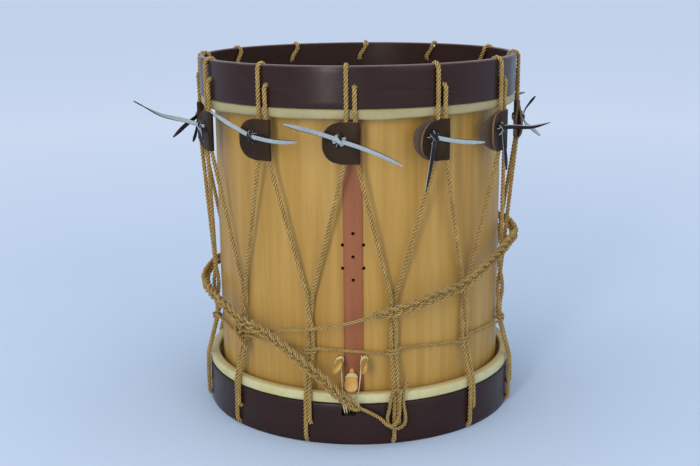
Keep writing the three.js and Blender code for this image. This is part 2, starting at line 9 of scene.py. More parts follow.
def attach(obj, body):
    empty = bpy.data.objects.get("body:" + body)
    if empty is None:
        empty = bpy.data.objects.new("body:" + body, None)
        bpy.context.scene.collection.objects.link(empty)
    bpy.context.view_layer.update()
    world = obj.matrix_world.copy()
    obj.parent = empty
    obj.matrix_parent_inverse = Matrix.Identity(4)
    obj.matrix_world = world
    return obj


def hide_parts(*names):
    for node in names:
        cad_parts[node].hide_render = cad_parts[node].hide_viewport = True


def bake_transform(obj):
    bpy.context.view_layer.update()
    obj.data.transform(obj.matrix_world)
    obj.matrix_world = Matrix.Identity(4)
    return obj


# A rope-tensioned snare drum. Lengths are in millimetres, and MM turns them into metres. Bearings are in
# degrees round the drum: 0 is its front, and they grow anticlockwise seen from above.
MM = 0.001
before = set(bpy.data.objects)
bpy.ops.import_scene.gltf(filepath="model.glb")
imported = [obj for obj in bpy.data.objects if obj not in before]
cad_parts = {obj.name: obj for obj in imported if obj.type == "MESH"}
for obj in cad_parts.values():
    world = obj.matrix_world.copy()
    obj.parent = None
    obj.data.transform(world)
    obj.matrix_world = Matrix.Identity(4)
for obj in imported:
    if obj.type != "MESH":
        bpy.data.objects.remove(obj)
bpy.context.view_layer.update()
scene = bpy.context.scene
scene.view_settings.view_transform = "Standard"

# ---------------------------------------------------------------- dimensions (mm, degrees)
POSITIONS = 12
STEP = 360.0 / POSITIONS
TOP_TURN, FOOT_LAG = -2.3, 0.5
HOOP_OUTER, HOOP_INNER = 210.0, 203.0
HOOP_MID = (HOOP_OUTER + HOOP_INNER) / 2
TOP_LOW, TOP_HIGH, BOTTOM_HIGH = 420.1, 470.0, 53.6
TOP_NOTCH, BOTTOM_NOTCH, NOTCH_WIDTH = 6.3, 11.5, 7.4
TOP_HOLE_Z, BOTTOM_HOLE_Z, HOLE_R, BEND_R = 446.0, 27.0, 3.2, 5.0
# The tension rope: its radius, where it runs outside and inside a hoop, and the length of one turn of lay.
ROPE_R, ROPE_OUT, ROPE_IN, LAY = 2.95, 213.6, 199.4, 15.0
RIM_ARC = (ROPE_OUT - ROPE_IN) / 2
# Half the distance between its two strands: at the top hoop, at the foot, in the twist and under an ear.
STRAND_GAP, FOOT_GAP, PAIR_GAP, EAR_GAP, PAIR_R = 4.9, 2.85, 2.95, 7.5, 198.8
TWIST_HIGH, TWIST_LOW, WAIST_Z, WAIST_R, FOOT_Z = 187.0, 140.0, 118.0, 2.2, 64.0
SHELL_R, SHELL_WALL, SHELL_LOW, SHELL_HIGH = 191.2, 5.0, 39.6, 434.1
BATTEN_DEG, BATTEN_HALF, BATTEN_R = -2.1, 3.55, 193.0
VENT_R, VENT_Z, VENT_UP, VENT_ACROSS = 2.25, 238, 14.6, 12.8
GATE_DEG, GATE_WIDTH, GATE_DEPTH = -3.8, 18.0, 15.0
EAR_TOP, EAR_BOTTOM, EAR_LEATHER, EAR_BORE = 405.6, 356.0, 2.6, 3.45
EAR_FOLD_T, EAR_FLAP_T, EAR_CORNER = 7.8, -33.5, 22.0
LACE_T, LACE_Z, KNOT_N = -13.0, 385.0, 7.4
THONG_WIDTH, NARROW_THONG, BAND_WIDTH = 5.5, 4.8, 4.8
GUT_R, GUT_GAP = 0.8, 5.0
PEG_R, PEG_START, PEG_HALF = 3.2, 12.0, 8.6
# Pegs: bearing, height, droop, length and turn.
PEGS = [(-7.3, 108.0, 15.0, 30.0, 50.0), (-2.9, 92.0, 35.0, 33.0, 0.0), (1.6, 108.0, 15.0, 30.0, 72.0)]
DRAG_D, DRAG_LAY, STITCH = 4.8, 14, 13.2


def at(radius, deg, z):
    a = math.radians(deg)
    return np.array([radius * math.sin(a), -radius * math.cos(a), z])


def outward(deg):
    return at(1, deg, 0)


def deg_of(length, radius):
    return math.degrees(length / radius)


def top_deg(k):
    return TOP_TURN + STEP * k


def foot_deg(k):
    return top_deg(k) + STEP / 2 - FOOT_LAG


# ---------------------------------------------------------------- camera
CAMERA_PLACE = (0, -1.5005, 0.5805)
CAMERA_PITCH, CAMERA_YAW, CAMERA_ROLL, CAMERA_LENS = 13.43, -0.46, -0.55, 57.24


def add_camera():
    pitch, yaw, roll = math.radians(CAMERA_PITCH), math.radians(CAMERA_YAW), math.radians(CAMERA_ROLL)
    forward = Vector((math.sin(yaw) * math.cos(pitch), math.cos(yaw) * math.cos(pitch), -math.sin(pitch)))
    right = forward.cross(Vector((0, 0, 1))).normalized()
    up = right.cross(forward)
    x = right * math.cos(roll) + up * math.sin(roll)
    y = up * math.cos(roll) - right * math.sin(roll)
    data = bpy.data.cameras.new("camera")
    data.sensor_fit = "HORIZONTAL"
    data.sensor_width = 36
    data.lens = CAMERA_LENS
    data.clip_end = 50
    camera = bpy.data.objects.new("camera", data)
    scene.collection.objects.link(camera)
    matrix = Matrix((x, y, -forward)).transposed().to_4x4()
    matrix.translation = Vector(CAMERA_PLACE)
    camera.matrix_world = matrix
    scene.camera = camera


add_camera()


# ---------------------------------------------------------------- mesh helpers
def make(name, verts, faces, material=None, uv=None):
    mesh = bpy.data.meshes.new(name)
    mesh.from_pydata([tuple(v) for v in verts], [], [tuple(int(i) for i in f) for f in faces])
    mesh.validate()
    mesh.update()
    if uv is not None:
        layer = mesh.uv_layers.new(name="UVMap")
        flat = np.asarray(uv, np.float32).reshape(-1)
        if len(flat) == len(mesh.loops) * 2:
            layer.data.foreach_set("uv", flat)
    mesh.shade_smooth()
    obj = bpy.data.objects.new(name, mesh)
    scene.collection.objects.link(obj)
    if material is not None:
        mesh.materials.append(material)
    return obj


def placed(piece, body, slot, *nodes):
    """Rides a piece on a body and hides the CAD nodes that it replaces; the slot is not used."""
    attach(piece, body)
    if nodes:
        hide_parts(*nodes)


def smoothed(obj, sharp):
    """Smooth shading with edges past an angle kept sharp."""
    obj.data.shade_smooth()
    obj.data.set_sharp_from_angle(angle=math.radians(sharp))
    return obj


def recalc(obj):
    """Merges points that coincide and turns all faces outward."""
    work = bmesh.new()
    work.from_mesh(obj.data)
    bmesh.ops.remove_doubles(work, verts=work.verts, dist=1e-7)
    bmesh.ops.recalc_face_normals(work, faces=work.faces)
    work.to_mesh(obj.data)
    work.free()
    return obj


def applied(obj, sharp):
    """Turns the result of the object's modifiers into its mesh."""
    graph = bpy.context.evaluated_depsgraph_get()
    mesh = bpy.data.meshes.new_from_object(obj.evaluated_get(graph))
    old = obj.data
    obj.modifiers.clear()
    obj.data = mesh
    if old.users == 0:
        bpy.data.meshes.remove(old)
    return smoothed(obj, sharp)


def cut(obj, cutters, sharp=30):
    """Takes the cutters' shapes out of a closed object."""
    work = bmesh.new()
    for cutter in cutters:
        work.from_mesh(cutter.data)
    merged = bpy.data.meshes.new("cutter")
    work.to_mesh(merged)
    work.free()
    for cutter in cutters:
        bpy.data.objects.remove(cutter)
    tool = bpy.data.objects.new("cutter", merged)
    scene.collection.objects.link(tool)
    boolean = obj.modifiers.new("cut", "BOOLEAN")
    boolean.operation = "DIFFERENCE"
    boolean.solver = "EXACT"
    boolean.object = tool
    applied(obj, sharp)
    bpy.data.objects.remove(tool)


def circle(radius, sides):
    turns = [2 * math.pi * j / sides for j in range(sides)]
    return [(radius * math.cos(a), radius * math.sin(a)) for a in turns]


def tube(rows, around):
    """Faces between rings of "around" points, with a cap at each end."""
    faces = []
    for low in range(0, (rows - 1) * around, around):
        high = low + around
        for j in range(around):
            n = (j + 1) % around
            faces.append((low + j, low + n, high + n, high + j))
    last = (rows - 1) * around
    return faces + [tuple(range(around))[::-1], tuple(range(last, last + around))]


def lathe(name, profile, segments, material, shape=None, sharp=40):
    """Turns a closed profile of (radius, z) corners; shape(deg, i, r, z) may move each point."""
    verts, index = [], []
    for i, (r, z) in enumerate(profile):
        if r < 1e-6:
            index.append([len(verts)] * segments)
            verts.append(at(0, 0, z) * MM)
            continue
        index.append(range(len(verts), len(verts) + segments))
        for j in range(segments):
            deg = 360.0 * j / segments
            rr, zz = shape(deg, i, r, z) if shape else (r, z)
            verts.append(at(rr, deg, zz) * MM)
    faces = []
    for a, b in zip(index, index[1:] + index[:1]):
        for j in range(segments):
            n = (j + 1) % segments
            corners = list(dict.fromkeys((a[j], a[n], b[n], b[j])))
            if len(corners) > 2:
                faces.append(corners)
    return smoothed(recalc(make(name, verts, faces, material)), sharp)


def bar(start, end, radius, sides=24):
    """A round cutter from one point to another."""
    start, end = start * MM, end * MM
    turn = Vector(end - start).to_track_quat("Z", "Y").to_matrix()
    ring = circle(radius * MM, sides)
    verts = [Vector(origin) + turn @ Vector((x, y, 0)) for origin in (start, end) for x, y in ring]
    return make("bar", verts, tube(2, sides))


def hoop_block(deg, width, low, high, round_r=0.0):
    """A slot cutter through a hoop's wall, with a rounded end at "low" when round_r is given."""
    reach = 8.0
    floor = [(-width / 2, low), (width / 2, low)]
    if round_r:
        side = 1 if high > low else -1
        turns = [math.pi * i / 12 for i in range(13)]
        floor = [(-round_r * math.cos(a), low + side * round_r * (1 - math.sin(a))) for a in turns]
    outline = [(-width / 2, high), *floor, (width / 2, high)]
    radii = (HOOP_MID - reach, HOOP_MID + reach)
    verts = [at(r, 0, z) * MM + np.array([t * MM, 0, 0]) for r in radii for t, z in outline]
    obj = make("slot", verts, tube(2, len(outline)))
    obj.data.transform(Matrix.Rotation(math.radians(deg), 4, "Z"))
    return recalc(obj)


def unit(vector):
    return vector / np.linalg.norm(vector)


def run_of(line):
    """How far along a line each of its points is."""
    return np.r_[0, np.cumsum(np.linalg.norm(np.diff(line, axis=0), axis=1))]


def sampled(points, run, where):
    return np.stack([np.interp(where, run, points[:, i]) for i in range(3)], 1)


def resample(points, step):
    points = np.asarray(points, float)
    run = run_of(points)
    count = max(int(round(run[-1] / step)), 2) + 1
    return sampled(points, run, np.linspace(0, run[-1], count))


def relaxed(points, step, spread):
    """Even points along a line with its corners eased over about "spread" mm."""
    points = resample(points, step)
    reach = max(int(round(3 * spread / step)), 1)
    kernel = np.exp(-0.5 * (np.arange(-reach, reach + 1) * step / spread) ** 2)
    kernel /= kernel.sum()
    ahead = 2 * points[0] - points[1:reach + 1][::-1]
    after = 2 * points[-1] - points[-reach - 1:-1][::-1]
    padded = np.vstack([ahead, points, after])
    return np.stack([np.convolve(padded[:, i], kernel, "valid") for i in range(3)], 1)


def curve_through(points, per_span=12):
    """A centripetal Catmull-Rom curve through the points."""
    p = np.asarray(points, float)
    p = np.vstack([2 * p[0] - p[1], p, 2 * p[-1] - p[-2]])

    def blend(t, s, i, j, a, b):
        return (t[j] - s) / (t[j] - t[i]) * a + (s - t[i]) / (t[j] - t[i]) * b

    out = []
    for i in range(1, len(p) - 2):
        t = [0.0]
        for a, b in zip(p[i - 1:i + 3], p[i:i + 3]):
            t.append(t[-1] + max(np.linalg.norm(b - a), 1e-9) ** 0.5)
        for s in np.linspace(t[1], t[2], per_span, endpoint=False):
            a1, a2, a3 = (blend(t, s, j, j + 1, p[i + j - 1], p[i + j]) for j in range(3))
            b1, b2 = blend(t, s, 0, 2, a1, a2), blend(t, s, 1, 3, a2, a3)
            out.append(blend(t, s, 1, 2, b1, b2))
    out.append(p[-2])
    return np.array(out)


def carried(points, start=None):
    """Two unit normals that are carried along a line without spinning."""
    tangent = np.gradient(points, axis=0)
    tangent /= np.linalg.norm(tangent, axis=1)[:, None]
    seed = np.array(start if start is not None else (0.0, 0.0, 1.0), float)
    if start is None and abs(tangent[0][2]) > 0.9:
        seed = np.array([1.0, 0.0, 0.0])
    normal = np.zeros_like(points)
    normal[0] = unit(seed - seed.dot(tangent[0]) * tangent[0])
    for i in range(1, len(points)):
        normal[i] = unit(normal[i - 1] - normal[i - 1].dot(tangent[i]) * tangent[i])
    return normal, np.cross(tangent, normal)


def sweep(name, points, section, material, twist=None, scale=None, start=None):
    """Sweeps a closed section (mm pairs) along points (mm); twist and scale are per point."""
    points, section = np.asarray(points, float), np.asarray(section, float)
    n, m = len(points), len(section)
    normal, side = carried(points, start)
    angle = np.zeros(n) if twist is None else np.asarray(twist)
    size = np.ones(n) if scale is None else np.asarray(scale)
    c, s = np.cos(angle)[:, None], np.sin(angle)[:, None]
    across = section[None] * size[:, None, None]
    first, second = normal * c + side * s, side * c - normal * s
    ring = points[:, None] + first[:, None] * across[:, :, :1] + second[:, None] * across[:, :, 1:]
    run = run_of(points) * MM
    i, j = np.meshgrid(np.arange(n - 1), np.arange(m), indexing="ij")
    u0, u1, v0, v1 = run[i], run[i + 1], j / m, (j + 1) / m
    uv = [np.stack(corner, -1) for corner in ((u0, v0), (u0, v1), (u1, v1), (u1, v0))]
    uv = np.vstack([np.stack(uv, 2).reshape(-1, 2), np.zeros((2 * m, 2))])
    return smoothed(make(name, ring.reshape(-1, 3) * MM, tube(n, m), material, uv), 70)


def rope_section(radius, sides=18, depth=0.7):
    """Three strands laid together, rounded where they press on each other."""
    s, c = 0.464 * radius, 0.536 * radius
    outline = []
    for j in range(sides):
        phi = 2 * math.pi * j / sides
        near = (phi + math.pi / 3) % (2 * math.pi / 3) - math.pi / 3
        inside = max(s * s - (c * math.sin(near)) ** 2, 0.0)
        r = max(c * math.cos(near) + math.sqrt(inside), depth * radius)
        outline.append((r * math.cos(phi), r * math.sin(phi)))
    return outline


def rope(name, points, radius, step=1.5, sides=18, spread=1.5, lay=LAY, phase=0.0, ends=0.0):
    """A laid hemp rope along a line, a little uneven, and narrowing over "ends" mm at its ends."""
    line = relaxed(points, step, spread)
    run = run_of(line)
    size = 1 + 0.025 * np.sin(run / 7.3 + phase) + 0.02 * np.sin(run / 3.1 + 2 * phase)
    if ends:
        from_end = np.minimum(run, run[-1] - run)
        size = size * np.clip(0.75 + 0.25 * from_end / ends, 0, 1)
    twist = phase + 2 * math.pi * run / lay
    return sweep(name, line, rope_section(radius, sides), HEMP, twist, size), line


# ---------------------------------------------------------------- materials
def srgb(r, g, b):
    out = []
    for c in (r, g, b):
        c /= 255
        out.append(c / 12.92 if c <= 0.04045 else ((c + 0.055) / 1.055) ** 2.4)
    return (*out, 1.0)


def shaded(tone, share):
    return (*(c * share for c in tone[:3]), 1)


class Nodes:
    """Short calls for building a material from nodes."""

    def __init__(self, name, roughness, coat=0.0, coat_roughness=0.2, specular=0.5, sheen=0.0,
                 subsurface=0.0):
        self.material = bpy.data.materials.new(name)
        self.material.use_nodes = True
        self.tree = self.material.node_tree
        self.shader = self.tree.nodes["Principled BSDF"]
        settings = {"Roughness": roughness, "Specular IOR Level": specular, "Coat Weight": coat,
                    "Coat Roughness": coat_roughness, "Sheen Weight": sheen,
                    "Subsurface Weight": subsurface, "Subsurface Scale": 0.003}
        for key, value in settings.items():
            self.shader.inputs[key].default_value = value

    def feed(self, socket, value):
        """Links an output to a socket, or gives the socket a number or a colour."""
        if hasattr(value, "is_output"):
            self.tree.links.new(value, socket)
        else:
            socket.default_value = value

    def add(self, kind, inputs=None, **settings):
        node = self.tree.nodes.new(kind)
        for key, value in settings.items():
            setattr(node, key, value)
        for key, value in (inputs or {}).items():
            self.feed(node.inputs[key], value)
        return node

    def coords(self, scale=(1, 1, 1), kind="Object"):
        source = self.add("ShaderNodeTexCoord").outputs[kind]
        return self.add("ShaderNodeMapping", {"Vector": source, "Scale": scale}).outputs["Vector"]

    def noise(self, vector, scale, detail=4.0, rough=0.55, distortion=0.0):
        inputs = {"Vector": vector, "Scale": scale, "Detail": detail, "Roughness": rough,
                  "Distortion": distortion}
        return self.add("ShaderNodeTexNoise", inputs).outputs["Fac"]

    def cells(self, vector, scale):
        return self.add("ShaderNodeTexVoronoi", {"Vector": vector, "Scale": scale}).outputs["Distance"]

    def ramp(self, value, stops):
        node = self.add("ShaderNodeValToRGB", {"Fac": value})
        elements = node.color_ramp.elements
        while len(elements) < len(stops):
            elements.new(0.5)
        for element, (position, color) in zip(elements, stops):
            element.position = position
            element.color = color
        return node.outputs["Color"]

    def grey(self, value, low, high, dark=0.0, light=1.0):
        return self.ramp(value, [(low, (dark, dark, dark, 1)), (high, (light, light, light, 1))])

    def mix(self, factor, a, b, blend="MIX"):
        node = self.add("ShaderNodeMix", data_type="RGBA", blend_type=blend)
        self.feed(node.inputs["Factor"], factor)
        for key, value in (("A", a), ("B", b)):
            self.feed([s for s in node.inputs if s.name == key and s.type == "RGBA"][0], value)
        return [s for s in node.outputs if s.type == "RGBA"][0]

    def over(self, body, mask, low, high, amount, tone):
        """Lays a tone over a colour, more of it as the mask goes from low to high."""
        return self.mix(self.grey(mask, low, high, 0.0, amount), body, tone)

    def math(self, operation, a, b=None):
        node = self.add("ShaderNodeMath", {0: a}, operation=operation)
        if b is not None:
            self.feed(node.inputs[1], b)
        return node.outputs[0]

    def split(self, vector):
        return self.add("ShaderNodeSeparateXYZ", {0: vector}).outputs

    def join(self, x, y, z):
        return self.add("ShaderNodeCombineXYZ", {0: x, 1: y, 2: z}).outputs[0]

    def finish(self, color, bumps=(), roughness=None):
        """Gives the shader its colour, its roughness and bumps of (height, strength, distance)."""
        self.feed(self.shader.inputs["Base Color"], color)
        if roughness is not None:
            self.feed(self.shader.inputs["Roughness"], roughness)
        normal = None
        for height, strength, distance in bumps:
            bump = self.add("ShaderNodeBump", {"Strength": strength, "Distance": distance, "Height": height})
            if normal is not None:
                self.feed(bump.inputs["Normal"], normal)
            normal = bump.outputs["Normal"]
        if normal is not None:
            self.feed(self.shader.inputs["Normal"], normal)
        return self.material


def wood(name, tones, roughness, fine=900.0, stretch=0.012, bump=0.06, stain=0.35, coat=0.15):
    """Lacquered wood with its grain running up the drum."""
    n = Nodes(name, roughness, coat=coat, coat_roughness=0.35, specular=0.3)
    grain = n.noise(n.coords((1, 1, stretch)), fine, 5, 0.6)
    wide = n.noise(n.coords((1, 1, stretch * 4)), fine / 12, 3, 0.5, 0.4)
    cloud = n.noise(n.coords((1, 1, 0.5)), 9.0, 3, 0.5)
    pores = n.noise(n.coords((1, 1, stretch * 2.2)), fine * 2.3, 2, 0.5)
    light, base, dark = tones
    body = n.ramp(wide, [(0.3, dark), (0.52, base), (0.74, light)])
    body = n.over(body, grain, 0.38, 0.66, stain, dark)
    body = n.over(body, pores, 0.62, 0.74, 0.4, shaded(dark, 0.62))
    body = n.over(body, cloud, 0.35, 0.75, 0.35, light)
    rough = n.grey(grain, 0.3, 0.7, roughness - 0.06, roughness + 0.1)
    return n.finish(body, [(grain, bump, 0.0006), (pores, bump * 1.4, 0.0004)], rough)


def hoop_finish():
    """Dark lacquered wood, a little cloudy, with a painted highlight along the upper rim."""
    n = Nodes("hoop_lacquer", 0.32, coat=0.06, coat_roughness=0.2, specular=0.19)
    grain = n.noise(n.coords((0.35, 0.35, 10)), 46.0, 5, 0.6, 0.3)
    cloud = n.noise(n.coords((1, 1, 0.6)), 16.0, 4, 0.6)
    scuff = n.noise(n.coords((1, 1, 0.8)), 52.0, 8, 0.72, 0.6)
    speck = n.noise(n.coords(), 420.0, 3, 0.6)
    highlight_wobble = n.noise(n.coords((1, 1, 0.3)), 70.0, 5, 0.7)
    height = n.split(n.coords())[2]
    # Painted highlight: a light band along the rounded top edge of the upper hoop, its lower edge made uneven
    # by noise.
    rim_low, rim_high = (TOP_HIGH - 1.0) * MM, (TOP_HIGH + 0.2) * MM
    rim = n.grey(n.math("ADD", height, n.math("MULTIPLY", highlight_wobble, 0.0016)), rim_low, rim_high)
    body = n.ramp(grain, [(0.3, srgb(40, 22, 18)), (0.55, srgb(47, 26, 22)), (0.75, srgb(55, 32, 27))])
    body = n.over(body, cloud, 0.4, 0.8, 0.4, srgb(58, 38, 35))
    body = n.over(body, scuff, 0.66, 0.8, 0.3, srgb(92, 72, 68))
    body = n.over(body, speck, 0.72, 0.78, 0.25, srgb(110, 88, 80))
    # Lays the painted highlight on the top edge.
    body = n.mix(rim, body, srgb(150, 116, 108))
    rough = n.grey(scuff, 0.4, 0.75, 0.27, 0.46)
    return n.finish(body, [(grain, 0.05, 0.0006), (scuff, 0.06, 0.0006), (cloud, 0.12, 0.004)], rough)


def skin_finish():
    """Calfskin, cloudy and veined, stained by the shell below, with painted shade darkening the upper head.
    """
    n = Nodes("calfskin", 0.5, specular=0.4, subsurface=0.12, coat=0.08, coat_roughness=0.4)
    n.shader.inputs["Subsurface Radius"].default_value = (1.0, 0.6, 0.35)
    cloud = n.noise(n.coords((1, 1, 1.6)), 16.0, 6, 0.62, 0.5)
    blotch = n.noise(n.coords((1, 1, 3)), 42.0, 5, 0.65, 0.8)
    vein = n.noise(n.coords(), 30.0, 6, 0.75, 3.0)
    crease = n.noise(n.coords((1, 1, 5)), 120.0, 4, 0.6, 0.4)
    height = n.split(n.coords())[2]
    streak = n.noise(n.coords((1, 1, 0.12)), 150.0, 4, 0.65)
    stain = n.math("ADD", height, n.math("MULTIPLY", cloud, 0.006))
    body = n.ramp(cloud, [(0.3, srgb(200, 188, 128)), (0.5, srgb(208, 200, 148)),
                          (0.72, srgb(198, 200, 164))])
    body = n.over(body, blotch, 0.54, 0.76, 0.6, srgb(192, 166, 92))
    body = n.over(body, streak, 0.56, 0.74, 0.35, srgb(168, 156, 104))
    lower_head = n.grey(height, 0.08, 0.1, 1.0, 0.0)
    near_shell = n.math("MULTIPLY", n.grey(stain, 0.0685, 0.0715, 0.0, 0.55), lower_head)
    body = n.mix(near_shell, body, srgb(196, 150, 70))
    # Painted shade: the upper head, which sits under the top hoop, is multiplied darker.
    body = n.mix(n.grey(height, 0.2, 0.3), body, (0.62, 0.58, 0.55, 1), "MULTIPLY")
    body = n.over(body, vein, 0.62, 0.7, 0.4, srgb(172, 156, 104))
    body = n.over(body, crease, 0.64, 0.8, 0.4, srgb(140, 130, 92))
    return n.finish(body, [(blotch, 0.2, 0.0012), (crease, 0.22, 0.0005), (cloud, 0.15, 0.003)])


def rope_finish(name, tones):
    """Hemp: yarns along the rope, painted shade in the grooves between strands. U is metres along, V is
    around.
    """
    n = Nodes(name, 0.86, specular=0.22, sheen=0.12)
    u, v, _ = n.split(n.coords(kind="UV"))
    upright = n.math("ADD", v, n.math("MULTIPLY", u, 1 / (LAY * MM)))
    yarn = n.noise(n.join(n.math("MULTIPLY", u, 90.0), n.math("MULTIPLY", upright, 26.0), 0.0), 1.0, 3, 0.6)
    fibre = n.noise(n.join(n.math("MULTIPLY", u, 420.0), n.math("MULTIPLY", upright, 90.0), 0.0), 1.0, 2, 0.6)
    groove = n.math("ABSOLUTE", n.math("COSINE", n.math("MULTIPLY", v, 3 * math.pi)))
    patch = n.noise(n.coords(), 38.0, 4, 0.6)
    light, base, dark = tones
    body = n.ramp(yarn, [(0.3, dark), (0.5, base), (0.7, light)])
    body = n.over(body, patch, 0.35, 0.75, 0.45, dark)
    # Painted shade darkening the grooves between the strands.
    body = n.mix(n.grey(groove, 0.08, 0.7, 0.9, 0.0), body, shaded(dark, 0.22))
    body = n.over(body, fibre, 0.62, 0.8, 0.5, light)
    return n.finish(body, [(groove, 0.6, 0.0008), (yarn, 0.55, 0.0006), (fibre, 0.4, 0.0003)])


def leather(name, tones, roughness=0.5, grain=900.0, bump=0.25):
    n = Nodes(name, roughness, coat_roughness=0.3, specular=0.12)
    cells = n.cells(n.coords(), grain)
    cloud = n.noise(n.coords(), 34.0, 5, 0.62)
    fine = n.noise(n.coords(), 420.0, 4, 0.6)
    wear = n.noise(n.coords((1, 1, 1.4)), 90.0, 6, 0.7, 0.4)
    light, base, dark = tones
    body = n.ramp(cloud, [(0.3, dark), (0.5, base), (0.75, light)])
    body = n.mix(n.grey(cells, 0.0, 0.5, 0.3, 0.0), body, shaded(dark, 0.5))
    body = n.over(body, wear, 0.62, 0.78, 0.4, light)
    rough = n.grey(cloud, 0.3, 0.7, roughness - 0.08, roughness + 0.1)
    return n.finish(body, [(cells, bump, 0.0003), (fine, bump, 0.0002), (wear, 0.18, 0.0006)], rough)


def plain_fibre(name, tones, roughness, scale, bump, **finish):
    n = Nodes(name, roughness, **finish)
    fine = n.noise(n.coords(), scale, 5, 0.65)
    cloud = n.noise(n.coords(), scale / 12, 4, 0.6)
    light, base, dark = tones
    body = n.ramp(fine, [(0.3, dark), (0.5, base), (0.7, light)])
    body = n.over(body, cloud, 0.35, 0.75, 0.4, light)
    return n.finish(body, [(fine, bump, 0.0003)])


def tones(*triples):
    """A material's light, middle and dark colour."""
    return [srgb(*triple) for triple in triples]


SHELL_WOOD = wood("shell_wood", tones((193, 153, 80), (182, 139, 64), (165, 121, 50)), 0.44, stain=0.14,
                  coat=0.04)
BATTEN_WOOD = wood("batten_wood", tones((158, 94, 56), (143, 81, 45), (120, 62, 34)), 0.42, stain=0.2,
                   bump=0.05, coat=0.06)
INNER_WOOD = wood("inner_wood", tones((196, 168, 116), (172, 142, 90), (146, 116, 68)), 0.6, coat=0.0)
PEG_WOOD = wood("peg_wood", tones((226, 184, 104), (206, 160, 80), (170, 120, 50)), 0.36, fine=600,
                stretch=0.1, coat=0.3)
HOOP = hoop_finish()
SKIN = skin_finish()
HEMP = rope_finish("hemp_rope", tones((232, 197, 128), (192, 156, 84), (128, 94, 42)))
EAR = leather("ear_leather", tones((70, 50, 31), (52, 36, 22), (36, 25, 15)))
EAR_EDGE = plain_fibre("ear_cut_edge", tones((138, 108, 74), (108, 80, 54), (72, 52, 34)), 0.85, 900.0, 0.5)
EAR_BACK = plain_fibre("ear_flesh_side", tones((96, 78, 58), (74, 58, 44), (54, 42, 32)), 0.9, 700.0, 0.5)
PALE = plain_fibre("thong_flesh_side", tones((178, 186, 186), (150, 158, 159), (116, 122, 122)), 0.82,
                   800.0, 0.5)
DARK = leather("thong_grain_side", tones((58, 54, 52), (38, 35, 34), (24, 22, 22)), grain=1500.0, bump=0.2)
GUT = plain_fibre("gut_cord", tones((232, 216, 172), (214, 196, 146), (184, 162, 108)), 0.42, 700.0, 0.15,
                  coat=0.3, subsurface=0.2)

# ---------------------------------------------------------------- drag rope, the one long free cord
# The chain's route from its foot round the back to where it starts: bearing, radius, height.
CHAIN = [
    (-0.2, 223, 55), (-4, 226, 65.5), (-7.6, 225, 76), (-11.3, 222, 89), (-16.6, 219, 102.5),
    (-27.6, 218, 130), (-34, 218, 142), (-44, 216, 148.5), (-55.5, 213.5, 159), (-67, 212.5, 164.5),
    (-80, 212.5, 166.5), (-95, 212.5, 167), (-112, 212.5, 171), (-150, 213, 186), (-180, 213, 201),
    (-215, 213, 216), (-250, 213, 231), (-266, 212.5, 229), (-280, 212.5, 229), (-293, 212.5, 230),
    (-299.5, 212.5, 224), (-311.5, 213, 210.5), (-324, 215, 195), (-335, 217, 188), (-345, 217, 178),
    (-358.7, 217, 167),
]


def chain_stitch(pitch, diameter, samples=56, rounds=700):
    """One loop of a crocheted chain, pulled up until the rope lies on itself."""
    w, h = 0.95 * diameter, 0.76 * diameter
    corners = [(0, 0, -h), (0.15, 0.25 * w, 0), (0.5, w, h), (1.0, w, 0.6 * h), (1.45, 0, 0),
               (1.0, -w, 0.6 * h), (0.5, -w, h), (0.15, -0.25 * w, 0), (0.6, -0.1 * w, -1.2 * h)]
    lead_in, per_span = 2, 16
    knots = [(x * pitch + k * pitch, y, z) for k in range(-lead_in, 4) for x, y, z in corners]
    line = curve_through(knots, per_span)
    run = run_of(line)
    one_loop = len(corners) * per_span
    first, last = lead_in * one_loop, (lead_in + 1) * one_loop
    loop = sampled(line, run, np.linspace(run[first], run[last], samples, endpoint=False))
    shift = np.array([pitch, 0, 0])
    copies = np.arange(-4, 5)
    order = np.arange(samples)
    other_order = np.concatenate([order + k * samples for k in copies])
    nearest = 0.97 * diameter
    for _ in range(rounds):
        others = np.concatenate([loop + k * shift for k in copies])
        before = np.roll(loop, 1, axis=0)
        before[0] -= shift
        after = np.roll(loop, -1, axis=0)
        after[-1] += shift
        step = np.linalg.norm(after - loop, axis=1).mean()
        apart = loop[:, None] - others[None]
        distance = np.linalg.norm(apart, axis=2)
        close = np.abs(other_order[None] - order[:, None]) * step < 1.9 * diameter
        push = np.where(~close & (distance < nearest), (nearest - distance) / np.maximum(distance, 1e-6), 0)
        force = np.clip((apart * push[:, :, None]).sum(1) * 0.1, -0.3, 0.3)
        loop = loop + force + 0.25 * (0.5 * (before + after) - loop)
    return loop


def chain_line(route):
    """The chain's rope, laid loop by loop along a route with its broad face outward."""
    centre = resample(curve_through([at(r, deg, z) for deg, r, z in route], 20), 1.0)
    count = int((len(centre) - 1) / STITCH) - 1
    loop = chain_stitch(STITCH, DRAG_D)
    tangent = np.gradient(centre, axis=0)
    tangent /= np.linalg.norm(tangent, axis=1)[:, None]
    line = []
    for k in range(count):
        wobble = 0.10 * math.sin(1.7 * k) + 0.06 * math.sin(0.9 * k + 1)
        c, s = math.cos(wobble), math.sin(wobble)
        for x, y, z in loop:
            where = np.clip(x + k * STITCH, 0, len(centre) - 1.001)
            i = int(where)
            point = centre[i] + (centre[i + 1] - centre[i]) * (where - i)
            t = tangent[i]
            out = unit(np.array([point[0], point[1], 0]))
            out = unit(out - out.dot(t) * t)
            line.append(point + np.cross(out, t) * (y * c - z * s) * 0.96 + out * (z * c + y * s))
    return np.array(line)


